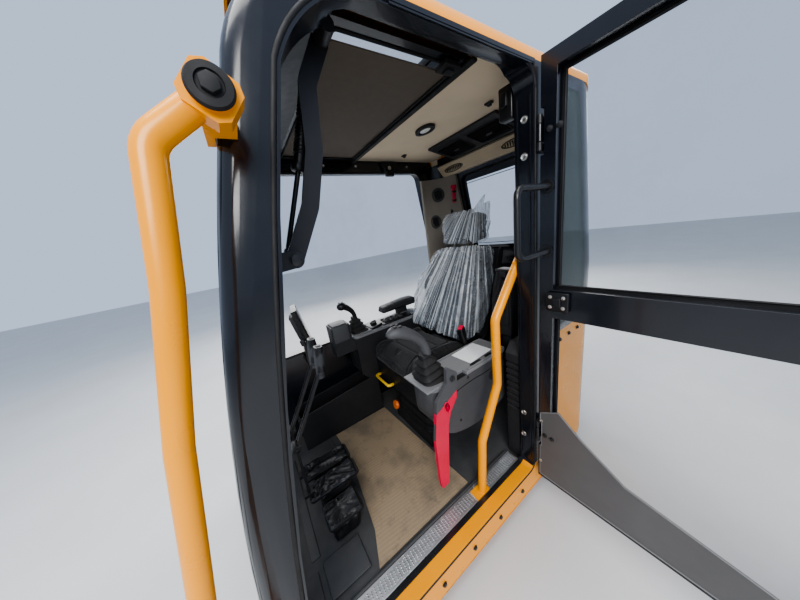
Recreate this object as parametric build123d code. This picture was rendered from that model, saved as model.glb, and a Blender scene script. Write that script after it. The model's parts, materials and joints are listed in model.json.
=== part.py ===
"""Operator's cab of a crawler excavator, as separate named pieces, in millimetres.

+X is the operator's left, the door side; -Y is forward; +Z is up.
The origin is the centre of the four cab mounts' bolt holes, on the mounts' underside.
Heights in the tables are counted from the floor mat's top, and up() turns them into Z.
"""

import os

from build123d import *

# Overall size of the cab body
CAB_HALF = 500.0
FRAME_DEPTH = 60.0
WALL = 34.0
SKIN_T = 4.0
FLOOR_TOP = 170.0
SKIRT_DROP = 100.0
CAB_FRONT = -800.0
CAB_REAR = 830.0
CORNER_R = 240.0
RAIL_TOP = 1489.0
CAP_EDGE = 1456.0

# The cab's side outline: nose, crown and tail, each point as (y, height)
NOSE_MID = (-720.0, 751.0)
NOSE_END = (-572.0, 1315.0)
CROWN_Y = -349.0
TAIL_CROWN_Y = 640.0
TAIL_TOP_Y = 722.0
TAIL_TOP_DROP = 76.0
TAIL_BEND = 820.0

# Gap left between a piece and its seat
SEAT_GAP = 0.3

# Cab mounts, base frame, floor
MOUNT_X = CAB_HALF - 100.0
MOUNT_Y = 620.0
MOUNT_R = 62.0
MOUNT_HEIGHT = 60.0
MOUNT_HOLE_R = 10.5
FLANGE_R = 75.0
FLANGE_T = 10.0
BEAM_W = 80.0
BEAM_H = 100.0
CROSS_Y = 250.0
MAT_T = 6.0
MAT_LEFT = CAB_HALF - 115.0
TREAD_T = 12.0
TROUGH_IN = -CAB_HALF + 196.0

# Door opening and side windows
OPENING_REAR = 180.0
OPENING_TOP = 1440.0
OPENING_SILL = 12.0
OPENING_NOSE = (-634.0, 738.0)
OPENING_CROWN = (-495.0, 1320.0)
OPENING_FRONT = -733.0
HEADER_RISE = 21.0
HEADER_STEP = 30.0
SEAL_IN = 5.0
SEAL_OUT = 13.0
SEAL_DEPTH = 6.0
PILLAR_B = 82.0
NOSE_ROUND = 30.0
QUARTER_SILL = 620.0
QUARTER_TOP = 1408.0
QUARTER_FOOT = 515.0
QUARTER_HEAD = 408.0
RIGHT_SILL = 500.0
RIGHT_TOP_EDGE = 1425.0
GLASS_T = 6.0
GLASS_LAP = 12.0

# Front and rear windows
SCREEN_RIM = 40.0
LOWER_SILL = 40.0
LOWER_TOP = 420.0
UPPER_SILL = 455.0
UPPER_TOP = 1330.0
REAR_SILL = 864.0
REAR_HEAD = 1350.0
REAR_HALF = CAB_HALF - 250.0
HEADER_LOW = RAIL_TOP - 115.0
PILLAR_TRIM_LOW = 730.0

# Door, standing open at a right angle to the cab's side
HINGE_X = CAB_HALF + 10.0
HINGE_Y = OPENING_REAR + 11.0
DOOR_IN = CAB_HALF + 6.0
DOOR_T = 45.0
DOOR_REAR = HINGE_Y - 5.0
DOOR_TOP = 1456.0
DOOR_BOTTOM = -20.0
DOOR_LAP = 47.0
DOOR_RIM = 42.0
DOOR_SILL = 60.0
DOOR_MID_LOW = 712.0
DOOR_MID_HIGH = 810.0
HINGE_HEIGHTS = (1275.0, 205.0)
HINGE_PIN_R = 4.0
HINGE_KNUCKLE_R = 8.0
HINGE_LEAF = 22.0
HANDLE_REACH = 165.0
HANDLE_R = 9.0
HANDLE_LOW = 936.0
HANDLE_HIGH = 1126.0
TRIM_T = 3.0

# Roof and hatch
ROOF_TOP = 1534.0
ROOF_SKIN = 5.0
ROOF_ROUND = 95.0
ROOF_OVERHANG = 29.0
ROOF_FRONT = -530.0
ROOF_TAIL = 23.0
TRIM_DEPTH = 18.0
LINER_H = RAIL_TOP + SEAT_GAP
LINER_T = 12.0
LINER_REAR = 600.0
HATCH_HALF = CAB_HALF - FRAME_DEPTH - 60.0
HATCH_FRONT = -345.0
HATCH_REAR = 26.0
CURB_T = 6.0
CURB_FLANGE = 20.0
CURB_DROP = 12.0
STRIP_W = 39.0
LID_T = 22.0
LID_REST = 12.0 + SEAT_GAP
LID_RIM = 10.0
LID_LAP = 14.0
LID_HINGE_Y = HATCH_REAR + 34.0
LID_PIN_H = 11.0
EAR_INSET = 60.0

# Widths of the two consoles, which leave the seat its place
CONSOLE_OUT = CAB_HALF - 165.0
CONSOLE_IN = CONSOLE_OUT - 145.0
RIGHT_OUT = -CAB_HALF + 120.0
RIGHT_IN = RIGHT_OUT + 140.0
SIDE_PLAY = 30.0

# Seat
SEAT_X = (CONSOLE_IN + RIGHT_IN) / 2 - 5.0
BASE_TOP = 280.0
PAN_FRONT = -130.0
PAN_REAR = 295.0
CUSHION_HALF = (CONSOLE_IN - RIGHT_IN - SIDE_PLAY) / 2
CUSHION_FRONT = -150.0
CUSHION_REAR = 250.0
CUSHION_TOP = 500.0
PIVOT_Y = 275.0
PIVOT_H = 430.0
CUSHION_BOTTOM = PIVOT_H - 34.0
BACK_LOW_HALF = CUSHION_HALF - 4.0
BACK_HALF = CUSHION_HALF + 40.0
BACK_TOP_HALF = CUSHION_HALF - 35.0
HEAD_HALF = 136.0

# Consoles, controls
CONSOLE_TOP = 500.0
CONSOLE_FRONT = -192.0
CONSOLE_REAR = 250.0
CONSOLE_ROUND = 56.0
COVER_REAR = CONSOLE_REAR + 4.0
FOLD_SHARE = 0.55
RIGHT_TOP = 560.0
TRIM_TOP_T = 16.0
LEVER_X = CONSOLE_OUT + 11.0
LEVER_T = 14.0
LEVER_PIVOT_Y = -108.0
LEVER_PIVOT_H = 530.0
LEVER_PIN_R = 6.0
GRIP_R = 18.0
STICK_LEFT = CONSOLE_OUT - 73.0
STICK_RIGHT = RIGHT_OUT + 76.0
PEDAL_H = 118.0
PEDAL_T = 14.0

# Bars outside and inside
BAR_R = 16.0
RAIL_R = 15.0
RAIL_X = CAB_HALF + 65.0

PARTS = {}


def up(height):
    """Z of a height counted from the floor mat's top."""
    return FLOOR_TOP + height


def block(x0, x1, y0, y1, h0, h1):
    """Box between two corners, heights from the floor."""
    return Pos((x0 + x1) / 2, (y0 + y1) / 2, up((h0 + h1) / 2)) * Box(x1 - x0, y1 - y0, h1 - h0)


def slab_x(face, x0, x1):
    """A face drawn in Y and Z, made as thick as from x0 to x1."""
    return extrude(Plane.YZ.offset(x0) * face, amount=x1 - x0)


def slab_y(face, y0, y1):
    """A face drawn in X and Z, made as thick as from y0 to y1."""
    plane = Plane(origin=(0, y0, 0), x_dir=(1, 0, 0), z_dir=(0, -1, 0))
    return extrude(plane * face, amount=-(y1 - y0))


def polygon(points, radius=0.0):
    """Closed outline through points given as (across, height), its corners rounded."""
    face = make_face(Polyline([(a, up(h)) for a, h in points], close=True))
    return fillet(face.vertices(), radius) if radius else face


def rounded(a0, a1, h0, h1, radius):
    """Rounded rectangle between two corners."""
    return polygon([(a0, h0), (a1, h0), (a1, h1), (a0, h1)], radius)


def rod(points, radius, bend):
    """Round bar through points (x, y, height), bent to one radius at its corners."""
    places = [(x, y, up(h)) for x, y, h in points]
    path = FilletPolyline(*places, radius=bend) if len(places) > 2 else Line(*places)
    start = Plane(origin=path @ 0, z_dir=path % 0)
    return sweep(start * Circle(radius), path=path)


def pin_x(x0, x1, y, height, radius):
    """Round pin lying across the cab."""
    return Pos((x0 + x1) / 2, y, up(height)) * Rot(0, 90, 0) * Cylinder(radius, x1 - x0)


def upright(x, y, h0, h1, radius):
    """Round post between two heights."""
    return Pos(x, y, up((h0 + h1) / 2)) * Cylinder(radius, h1 - h0)


def keep(name, *shapes):
    """Stores a node's solids and gives it its name."""
    solids = [s for shape in shapes for s in shape.solids()]
    node = solids[0] if len(solids) == 1 else Compound(solids)
    node.label = name
    PARTS[name] = node
    return node


# The shell's form

def cab_side():
    """The cab's outline from the side: upright tail, curved nose and round front corner."""
    foot = up(-SKIRT_DROP)
    top = up(RAIL_TOP)
    nose = (NOSE_END[0], up(NOSE_END[1]))
    tail = (TAIL_TOP_Y, up(RAIL_TOP - TAIL_TOP_DROP))
    edges = [
        Line((CAB_FRONT, foot), (CAB_FRONT, up(0))),
        ThreePointArc((CAB_FRONT, up(0)), (NOSE_MID[0], up(NOSE_MID[1])), nose),
        ThreePointArc(nose, (NOSE_END[0] + 85, top - 45), (CROWN_Y, top)),
        Line((CROWN_Y, top), (TAIL_CROWN_Y, top)),
        ThreePointArc((TAIL_CROWN_Y, top), (TAIL_TOP_Y - 28, top - 22), tail),
        Line(tail, (CAB_REAR, up(TAIL_BEND))),
        Line((CAB_REAR, up(TAIL_BEND)), (CAB_REAR, foot)),
        Line((CAB_REAR, foot), (CAB_FRONT, foot)),
    ]
    return make_face(edges)


def plan_form(half, rear, corner):
    """Upright form seen from above: round rear corners, leaning forward above the tail's bend."""
    front = 2 * CAB_FRONT
    depth = rear - front
    plan = Pos(0, (front + rear) / 2, up(TAIL_BEND)) * Rectangle(2 * half, depth)
    plan = fillet(plan.vertices().group_by(Axis.Y)[-1], corner)
    rise = RAIL_TOP - TAIL_TOP_DROP - TAIL_BEND
    lean = Vector(0, TAIL_TOP_Y - CAB_REAR, rise)
    foot = extrude(plan, amount=-(TAIL_BEND + 2 * SKIRT_DROP))
    return foot + extrude(plan, amount=lean.length * 1.3, dir=lean.normalized())


def shell_form(side_inset, end_inset):
    """The cab's closed form, drawn in from its sides and from its front, top and rear."""
    outline = offset(cab_side(), amount=-end_inset) if end_inset else cab_side()
    half = CAB_HALF - side_inset
    form = plan_form(half, CAB_REAR - end_inset, CORNER_R - side_inset)
    return slab_x(outline, -half, half) & form


def room(gap):
    """The space inside the cab's walls, left by a gap."""
    return shell_form(FRAME_DEPTH + gap, WALL + gap)


def roof_body(inset):
    """Solid roof form, drawn in from its outside by inset."""
    top = ROOF_TOP - inset
    front = ROOF_FRONT + inset
    rear = TAIL_TOP_Y + ROOF_TAIL - inset
    edges = [
        Line((front, up(CAP_EDGE)), (front + 6, up(CAP_EDGE + 12))),
        ThreePointArc((front + 6, up(CAP_EDGE + 12)), (front + 58, up(top - 24)), (-350, up(top - 5))),
        ThreePointArc((-350, up(top - 5)), (150, up(top)), (TAIL_CROWN_Y, up(top - 16))),
        ThreePointArc((TAIL_CROWN_Y, up(top - 16)), (rear - 24, up(top - 36)), (rear, up(CAP_EDGE))),
        Line((rear, up(CAP_EDGE)), (front, up(CAP_EDGE))),
    ]
    half = CAB_HALF - inset
    body = slab_x(make_face(edges), -half, half)
    bend = ROOF_ROUND - inset
    near = bend * (1 - 0.5 ** 0.5)
    low = up(CAP_EDGE) - 1
    high = up(top)
    section = [
        Line((-half, low), (-half, high - bend)),
        ThreePointArc((-half, high - bend), (-half + near, high - near), (-half + bend, high)),
        Line((-half + bend, high), (half - bend, high)),
        ThreePointArc((half - bend, high), (half - near, high - near), (half, high - bend)),
        Line((half, high - bend), (half, low)),
        Line((half, low), (-half, low)),
    ]
    body = body & slab_y(make_face(section), CAB_FRONT, CAB_REAR)
    slope = (CAB_REAR - TAIL_TOP_Y) / (RAIL_TOP - TAIL_TOP_DROP - TAIL_BEND)
    tail = CAB_REAR + ROOF_OVERHANG + (CAP_EDGE - RAIL_TOP + TAIL_TOP_DROP) * slope
    return body & plan_form(half, tail - inset, CORNER_R + ROOF_OVERHANG - inset)


UNDER_CAP = block(-CAB_HALF - 1, CAB_HALF + 1, CAB_FRONT, CAB_REAR, CAP_EDGE, RAIL_TOP + 1)
UNDER_CAP = UNDER_CAP - roof_body(ROOF_SKIN + SEAT_GAP)


def door_opening(grow=0.0):
    """Outline of the door opening, its front edge following the nose."""
    sill = up(OPENING_SILL)
    top = up(OPENING_TOP)
    foot = (OPENING_FRONT, sill + 40)
    rear = OPENING_REAR
    crown = (OPENING_CROWN[0], up(OPENING_CROWN[1]))
    edges = [
        Line((OPENING_FRONT + 33, sill), (rear - 30, sill)),
        ThreePointArc((rear - 30, sill), (rear - 9, sill + 9), (rear, sill + 30)),
        Line((rear, sill + 30), (rear, top - 50)),
        ThreePointArc((rear, top - 50), (rear - 15, top - 15), (rear - 50, top)),
        Line((rear - 50, top), (crown[0] + 152, top)),
        ThreePointArc((crown[0] + 152, top), (crown[0] + 51, top - 51), crown),
        ThreePointArc(crown, (OPENING_NOSE[0], up(OPENING_NOSE[1])), foot),
        ThreePointArc(foot, (OPENING_FRONT + 9, sill + 12), (OPENING_FRONT + 33, sill)),
    ]
    face = make_face(edges)
    return offset(face, amount=grow) if grow else face


def front_shell(grow, depth, half, h_low, h_high, reach):
    """A piece of the curved front wall, cut to a width, a range of height and a reach in Y."""
    outer = offset(cab_side(), amount=-grow) if grow else cab_side()
    inner = offset(cab_side(), amount=-grow - depth)
    shell = slab_x(outer, -half, half) - slab_x(inner, -half - 1, half + 1)
    return shell & block(-half, half, CAB_FRONT - 1, reach, h_low, h_high)


# Base of the cab

def make_base():
    """Rubber mounts, beams with the floor plate, and the mat."""
    mounts = []
    for sx in (-1, 1):
        for sy in (-1, 1):
            place = Pos(sx * MOUNT_X, sy * MOUNT_Y, 0)
            cushion = Pos(0, 0, MOUNT_HEIGHT / 2) * Cylinder(MOUNT_R, MOUNT_HEIGHT)
            flange = Pos(0, 0, FLANGE_T / 2) * Cylinder(FLANGE_R, FLANGE_T)
            hole = Pos(0, 0, MOUNT_HEIGHT / 2) * Cylinder(MOUNT_HOLE_R, MOUNT_HEIGHT + 2)
            mounts.append(place * (cushion + flange - hole))
    keep("cab_mounts", *mounts)
    low = MOUNT_HEIGHT - FLOOR_TOP
    high = low + BEAM_H
    side = CAB_HALF - FRAME_DEPTH - SEAT_GAP
    front = CAB_FRONT + WALL + SEAT_GAP
    rear = CAB_REAR - WALL - SEAT_GAP
    inside = plan_form(side, rear, CORNER_R - FRAME_DEPTH - SEAT_GAP)
    rim = block(-side, side, front, rear, low, high) & inside
    rim -= block(-side + BEAM_W, side - BEAM_W, front + BEAM_W, rear - BEAM_W, low - 1, high + 1)
    for y in (-CROSS_Y, CROSS_Y):
        rim += block(-side, side, y - BEAM_W / 2, y + BEAM_W / 2, low, high)
    plate = block(-side, side, front, rear, high, -MAT_T) & inside
    keep("base_frame", rim + plate)
    mat = block(-side, MAT_LEFT, front, rear, -MAT_T, 0) & inside
    keep("floor_mat", mat)


# Sides of the cab

def round_nose(solid, face_x):
    """Rounds the outer edge of a side frame along its nose, from the foot to the roof."""
    edges = solid.edges().filter_by_position(Axis.X, face_x - 1, face_x + 1)
    return fillet(edges.filter_by_position(Axis.Y, CAB_FRONT - 1, CROWN_Y + 1), NOSE_ROUND)


def make_sides():
    """Left frame with its door opening and quarter window, right frame with its window."""
    inner = CAB_HALF - FRAME_DEPTH
    past = CAB_HALF + 1
    corner = plan_form(CAB_HALF, CAB_REAR, CORNER_R)
    side = cab_side()
    quarter = polygon([(OPENING_REAR + PILLAR_B, QUARTER_SILL), (QUARTER_FOOT, QUARTER_SILL),
                       (QUARTER_FOOT - 8, TAIL_BEND), (QUARTER_HEAD, QUARTER_TOP),
                       (OPENING_REAR + PILLAR_B, QUARTER_TOP)], 32)
    reach = 62
    pane = polygon([(OPENING_REAR + PILLAR_B - GLASS_LAP, QUARTER_SILL - GLASS_LAP),
                    (QUARTER_FOOT + reach, QUARTER_SILL - GLASS_LAP),
                    (QUARTER_FOOT + reach, TAIL_BEND), (QUARTER_HEAD + reach, QUARTER_TOP + GLASS_LAP),
                    (OPENING_REAR + PILLAR_B - GLASS_LAP, QUARTER_TOP + GLASS_LAP)], 40)
    left = round_nose(slab_x(side, inner, CAB_HALF), CAB_HALF) & corner
    left -= slab_x(door_opening(), inner - 1, past)
    relief = rounded(OPENING_CROWN[0] + 100, OPENING_REAR - 30, OPENING_TOP - 140,
                     OPENING_TOP + HEADER_RISE, 60)
    left -= slab_x(relief, inner - 1, inner + HEADER_STEP)
    left -= slab_x(quarter, inner - 1, past)
    left -= UNDER_CAP
    groove = slab_x(door_opening(SEAL_OUT), CAB_HALF - SEAL_DEPTH, past)
    groove -= slab_x(door_opening(SEAL_IN), CAB_HALF - SEAL_DEPTH - 1, past + 1)
    left -= groove
    panel_cut = block(CAB_HALF - SKIN_T, past, OPENING_REAR + PILLAR_B, CAB_REAR + 1,
                      -SKIRT_DROP - 1, QUARTER_SILL - 40)
    panel = left & panel_cut
    left -= panel_cut
    sill_cut = block(inner - 1, past, CAB_FRONT - 1, OPENING_REAR + PILLAR_B, -SKIRT_DROP - 1, -4)
    sill = left & sill_cut
    left -= sill_cut
    glass_bed = slab_x(pane, CAB_HALF - GLASS_T, past)
    keep("side_panel_left", panel, sill)
    keep("side_frame_left", left - glass_bed)
    glass = slab_x(offset(pane, amount=-SEAT_GAP), CAB_HALF - GLASS_T + SEAT_GAP, CAB_HALF)
    keep("quarter_window", glass & corner)
    window = polygon([(-640, RIGHT_SILL), (598, RIGHT_SILL), (592, TAIL_BEND), (512, RIGHT_TOP_EDGE),
                      (-360, RIGHT_TOP_EDGE), (-478, RIGHT_TOP_EDGE - 95)], 45)
    right = round_nose(slab_x(side, -CAB_HALF, -inner), -CAB_HALF) & corner
    right -= slab_x(window, -past, -inner + 1)
    right -= UNDER_CAP
    bed = offset(window, amount=GLASS_LAP)
    right -= slab_x(bed, -past, -CAB_HALF + GLASS_T)
    panel_cut = block(-past, -CAB_HALF + SKIN_T, CAB_FRONT + 60, CAB_REAR + 1,
                      -SKIRT_DROP - 1, RIGHT_SILL - 40)
    keep("side_panel_right", right & panel_cut)
    keep("side_frame_right", right - panel_cut)
    glass = slab_x(offset(bed, amount=-SEAT_GAP), -CAB_HALF, -CAB_HALF + GLASS_T - SEAT_GAP)
    keep("right_window", glass & corner)


def make_ends():
    """Front frame with the two windscreens, rear frame with the rear window."""
    half = CAB_HALF - FRAME_DEPTH - SEAT_GAP
    screen_half = half - SCREEN_RIM
    reach = HATCH_FRONT - CURB_FLANGE - SEAT_GAP
    front = front_shell(0, WALL, half, -SKIRT_DROP - 1, RAIL_TOP - 2, reach)
    front -= block(-half - 1, half + 1, CAB_FRONT + WALL, reach, -SKIRT_DROP - 1, -SKIRT_DROP + WALL + 1)
    front -= UNDER_CAP
    nose_rear = NOSE_END[0] + 2 * WALL
    for low, high in ((LOWER_SILL, LOWER_TOP), (UPPER_SILL, UPPER_TOP)):
        front -= block(-screen_half, screen_half, CAB_FRONT - 1, nose_rear, low, high)
    keep("front_frame", front)
    for name, low, high in (("windscreen_lower", LOWER_SILL, LOWER_TOP),
                            ("windscreen_upper", UPPER_SILL, UPPER_TOP)):
        keep(name, front_shell(WALL / 2, GLASS_T, screen_half - SEAT_GAP, low + SEAT_GAP,
                               high - SEAT_GAP, nose_rear))
    rear_cut = block(-half, half, LINER_REAR + SEAT_GAP, CAB_REAR + 1, -SKIRT_DROP - 1, RAIL_TOP - 2)
    rear = (shell_form(0, 0) - shell_form(FRAME_DEPTH, WALL)) & rear_cut
    rear -= block(-half - 1, half + 1, 0, TAIL_CROWN_Y, RAIL_TOP - WALL - 5, RAIL_TOP)
    inside = plan_form(CAB_HALF - FRAME_DEPTH, CAB_REAR - WALL, CORNER_R - FRAME_DEPTH)
    rear -= inside & block(-half, half, 0, CAB_REAR, -SKIRT_DROP - 1, 0)
    rear -= UNDER_CAP
    window = rounded(-REAR_HALF, REAR_HALF, REAR_SILL, REAR_HEAD, 45)
    hole = slab_y(window, LINER_REAR, CAB_REAR + 1)
    keep("rear_frame", rear - hole)
    middle = WALL / 2
    layer = shell_form(middle, middle) - shell_form(middle + GLASS_T, middle + GLASS_T)
    pane = slab_y(offset(window, amount=-SEAT_GAP), LINER_REAR, CAB_REAR + 1)
    keep("rear_window", layer & pane)


# Roof

def make_roof():
    """Pressed roof cap and the liner under it."""
    cap = roof_body(0) - roof_body(ROOF_SKIN)
    hole = block(-HATCH_HALF, HATCH_HALF, HATCH_FRONT, HATCH_REAR, CAP_EDGE, ROOF_TOP + 30)
    keep("roof_cap", cap - hole)
    front = HATCH_REAR + CURB_FLANGE + SEAT_GAP
    liner = block(-CAB_HALF, CAB_HALF, front, LINER_REAR, LINER_H, LINER_H + LINER_T)
    lip = block(-CAB_HALF + FRAME_DEPTH + 2, CAB_HALF - FRAME_DEPTH - 2, front, front + 16,
                LINER_H - CURB_DROP, LINER_H)
    keep("headliner", (liner & roof_body(ROOF_SKIN + SEAT_GAP)) + lip)


def make_hatch():
    """Hatch curb with its hinge ears, the lid that hinges at its rear edge, and the blind."""
    flange = CURB_FLANGE
    curb = block(-HATCH_HALF - flange, HATCH_HALF + flange, HATCH_FRONT - flange, HATCH_REAR + flange,
                 LINER_H - CURB_DROP, LINER_H + 2)
    curb += block(-HATCH_HALF + 1, HATCH_HALF - 1, HATCH_FRONT + 1, HATCH_REAR - 1,
                  LINER_H - CURB_DROP, ROOF_TOP + 12)
    curb -= block(-HATCH_HALF + CURB_T, HATCH_HALF - CURB_T, HATCH_FRONT + CURB_T, HATCH_REAR - CURB_T,
                  LINER_H - CURB_DROP - 1, ROOF_TOP + 20)
    low = ROOF_TOP + LID_REST
    pin_h = low + LID_PIN_H
    ears = []
    for x in (-HATCH_HALF + EAR_INSET, HATCH_HALF - EAR_INSET):
        ear = block(x - 28, x + 28, LID_HINGE_Y - 14, LID_HINGE_Y + 14, ROOF_TOP + SEAT_GAP, low + LID_T)
        ear -= block(x - 20, x + 20, LID_HINGE_Y - 15, LID_HINGE_Y + 15, ROOF_TOP, low + LID_T + 1)
        ears.append(ear + pin_x(x - 28, x + 28, LID_HINGE_Y, pin_h, 4))
    keep("hatch_curb", curb, *ears)
    lap = LID_LAP
    rim = block(-HATCH_HALF - lap, HATCH_HALF + lap, HATCH_FRONT - lap, HATCH_REAR + lap, low, low + LID_T)
    well = block(-HATCH_HALF + LID_RIM, HATCH_HALF - LID_RIM, HATCH_FRONT + LID_RIM,
                 HATCH_REAR - LID_RIM, low - 1, low + LID_T + 1)
    rim -= well
    for x in (-HATCH_HALF + EAR_INSET, HATCH_HALF - EAR_INSET):
        arm = block(x - 15, x + 15, HATCH_REAR + lap, LID_HINGE_Y, low + 5, low + 17)
        barrel = pin_x(x - 15, x + 15, LID_HINGE_Y, pin_h, 9)
        rim += arm + barrel
        rim -= pin_x(x - 16, x + 16, LID_HINGE_Y, pin_h, 4.1)
    keep("hatch_rim", rim)
    keep("hatch_pane", well & block(-CAB_HALF, CAB_HALF, CAB_FRONT, CAB_REAR, low + 6, low + 11))
    side = HATCH_HALF - CURB_T - SEAT_GAP
    blind = block(-side, side - STRIP_W, HATCH_FRONT + CURB_T + SEAT_GAP, HATCH_REAR - CURB_T - SEAT_GAP,
                  LINER_H - 8, LINER_H - 4)
    keep("hatch_blind", blind)


def make_ceiling():
    """Vent panel with its two deep recesses, the interior light and the rear header."""
    top = LINER_H - SEAT_GAP
    side = polygon([(415, top), (415, top - 11), (612, top - 50), (624, top - 42), (624, top - 33),
                    (597, top)])
    panel = slab_x(side, -214, 218)
    pocket = polygon([(455, top - 89), (585, top - 89), (585, top - 19), (455, top - 8)])
    for x0, x1 in ((-190, -18), (20, 194)):
        panel -= slab_x(pocket, x0, x1)
    keep("vent_panel", panel)
    surround = Pos(0, 215, up(top - 12)) * extrude(Ellipse(54, 36), amount=12)
    surround -= Pos(0, 215, up(top - 13)) * extrude(Ellipse(36, 22), amount=7)
    keep("interior_light", surround)
    high = RAIL_TOP - 42
    side = polygon([(644, high), (634, high - 11), (664, HEADER_LOW), (760, HEADER_LOW), (760, high)])
    header = slab_x(side, -CAB_HALF, CAB_HALF)
    header &= room(SEAT_GAP)
    for x in (-255, 160):
        vent = slab_y(Pos(x, up(HEADER_LOW + 30)) * Ellipse(74, 15), LINER_REAR, 656)
        header -= vent
    keep("rear_header", header)


def make_pillars():
    """Curved inner trims of the two rear corners, and the glass hammer on the right one."""
    layer = room(SEAT_GAP) - room(TRIM_DEPTH)
    trims = []
    for side in (-1, 1):
        far = side * (CAB_HALF - FRAME_DEPTH)
        near = side * (REAR_HALF + 22)
        zone = block(min(far, near), max(far, near), 515, 800, PILLAR_TRIM_LOW, HEADER_LOW - 2)
        trims.append(layer & zone)
    keep("pillar_trims", *trims)
    place = Plane(origin=(-REAR_HALF - 53, 687, up(1253)), x_dir=(0.96, 0.27, 0), z_dir=(0.17, -0.14, 1))
    hammer = place * Box(15, 24, 96) + place * Pos(0, 0, 50) * Rot(0, 90, 0) * Cylinder(12, 34)
    keep("glass_hammer", hammer & room(TRIM_DEPTH + SEAT_GAP))


# Door

def open_door(shape):
    """Turns a piece drawn on the closed door to where the door stands open."""
    return shape.rotate(Axis((HINGE_X, HINGE_Y, 0), (0, 0, 1)), 90)


def door_outline():
    """The door's edge: the opening's outline grown, trimmed at top, foot and hinge side."""
    front = 2 * CAB_FRONT
    limit = rounded(front, DOOR_REAR, DOOR_BOTTOM, DOOR_TOP, 0)
    return door_opening(DOOR_LAP) & limit


def make_door():
    """Door frame, panes, mid rail, lower trim, pull handle and hinges."""
    out = DOOR_IN + DOOR_T
    edge = door_outline()
    inside = offset(edge, amount=-DOOR_RIM)
    far = 2 * CAB_FRONT
    upper = inside & polygon([(far, DOOR_MID_HIGH), (-far, DOOR_MID_HIGH), (-far, -far), (far, -far)])
    lower = inside & polygon([(far, DOOR_SILL), (-far, DOOR_SILL), (-far, DOOR_MID_LOW), (far, DOOR_MID_LOW)])
    frame = slab_x(edge, DOOR_IN, out)
    for hole in (upper, lower):
        frame -= slab_x(hole, DOOR_IN - 1, out + 1)
    pockets = [upright(HINGE_X, HINGE_Y, height - 60, height + 60, 15) for height in HINGE_HEIGHTS]
    for pocket in pockets:
        frame -= pocket
    glass_in = out - GLASS_T - 4
    upper_pane = slab_x(offset(upper, amount=-SEAT_GAP), glass_in, out - 4)
    lower_pane = slab_x(offset(lower, amount=-SEAT_GAP), glass_in, out - 4)
    trim_rear = DOOR_REAR - 4
    trim_face = polygon([(trim_rear, -10), (trim_rear, 305), (116, 344), (44, 276), (-82, 183),
                         (-600, 70), (-600, -10)], 8) & edge
    frame -= slab_x(trim_face, DOOR_IN - 1, DOOR_IN + TRIM_T)
    trim = slab_x(trim_face, DOOR_IN, DOOR_IN + TRIM_T - SEAT_GAP)
    for pocket in pockets:
        trim -= pocket
    for height in HINGE_HEIGHTS:
        leaf = upright(HINGE_X, HINGE_Y, height - HINGE_LEAF, height + HINGE_LEAF, HINGE_KNUCKLE_R)
        leaf += block(HINGE_X, out - 5, DOOR_REAR, HINGE_Y, height - HINGE_LEAF, height + HINGE_LEAF)
        frame += leaf
        frame -= upright(HINGE_X, HINGE_Y, height - HINGE_LEAF - 1, height + HINGE_LEAF + 1,
                         HINGE_PIN_R + 0.1)
    keep("door_frame", open_door(frame))
    keep("door_glass_upper", open_door(upper_pane))
    keep("door_glass_lower", open_door(lower_pane))
    keep("door_trim", open_door(trim))
    y = DOOR_REAR - 24
    reach = DOOR_IN - HANDLE_REACH
    handle = rod([(DOOR_IN, y, HANDLE_HIGH), (reach, y, HANDLE_HIGH), (reach, y, HANDLE_LOW),
                  (DOOR_IN, y, HANDLE_LOW)], HANDLE_R, 28)
    keep("door_handle", open_door(handle))
    latch = block(DOOR_IN - 16, DOOR_IN - SEAT_GAP, -560, -440, DOOR_MID_LOW + 18, DOOR_MID_HIGH - 20)
    keep("door_latch", open_door(latch))
    plates = []
    for height in HINGE_HEIGHTS:
        plate = upright(HINGE_X, HINGE_Y, height - 48, height + 48, HINGE_PIN_R)
        for low in (height - 46, height + 24):
            plate += upright(HINGE_X, HINGE_Y, low, low + 22, HINGE_KNUCKLE_R)
            plate += block(CAB_HALF + SEAT_GAP, HINGE_X, HINGE_Y + 2, OPENING_REAR + PILLAR_B - 10,
                           low, low + 22)
        plates.append(plate)
    keep("hinge_plates", *plates)


# Controls

def front_rounded(x0, x1, y0, y1, radius, rear_radius):
    """Plan of a console: generous round front corners, tighter rear ones."""
    plan = Pos((x0 + x1) / 2, (y0 + y1) / 2) * Rectangle(x1 - x0, y1 - y0)
    plan = fillet(plan.vertices().group_by(Axis.Y)[0], radius)
    return fillet(plan.vertices().group_by(Axis.Y)[-1], rear_radius)


def bellows(x, y, base, low, top, height, folds):
    """Square bellows that narrow upward, each fold out and in again."""
    shape = None
    step = height / folds
    for i in range(folds):
        wide = low + (top - low) * i / folds
        narrow = low + (top - low) * (i + 1) / folds
        plan = chamfer(Rectangle(2 * wide, 2 * wide).vertices(), wide / 3)
        neck = chamfer(Rectangle(2 * narrow - 12, 2 * narrow - 12).vertices(), narrow / 3)
        ring = extrude(Pos(0, 0, i * step) * plan, amount=step * FOLD_SHARE)
        ring += extrude(Pos(0, 0, i * step) * neck, amount=step)
        shape = ring if shape is None else shape + ring
    return Pos(x, y, up(base + SEAT_GAP)) * shape


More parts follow.
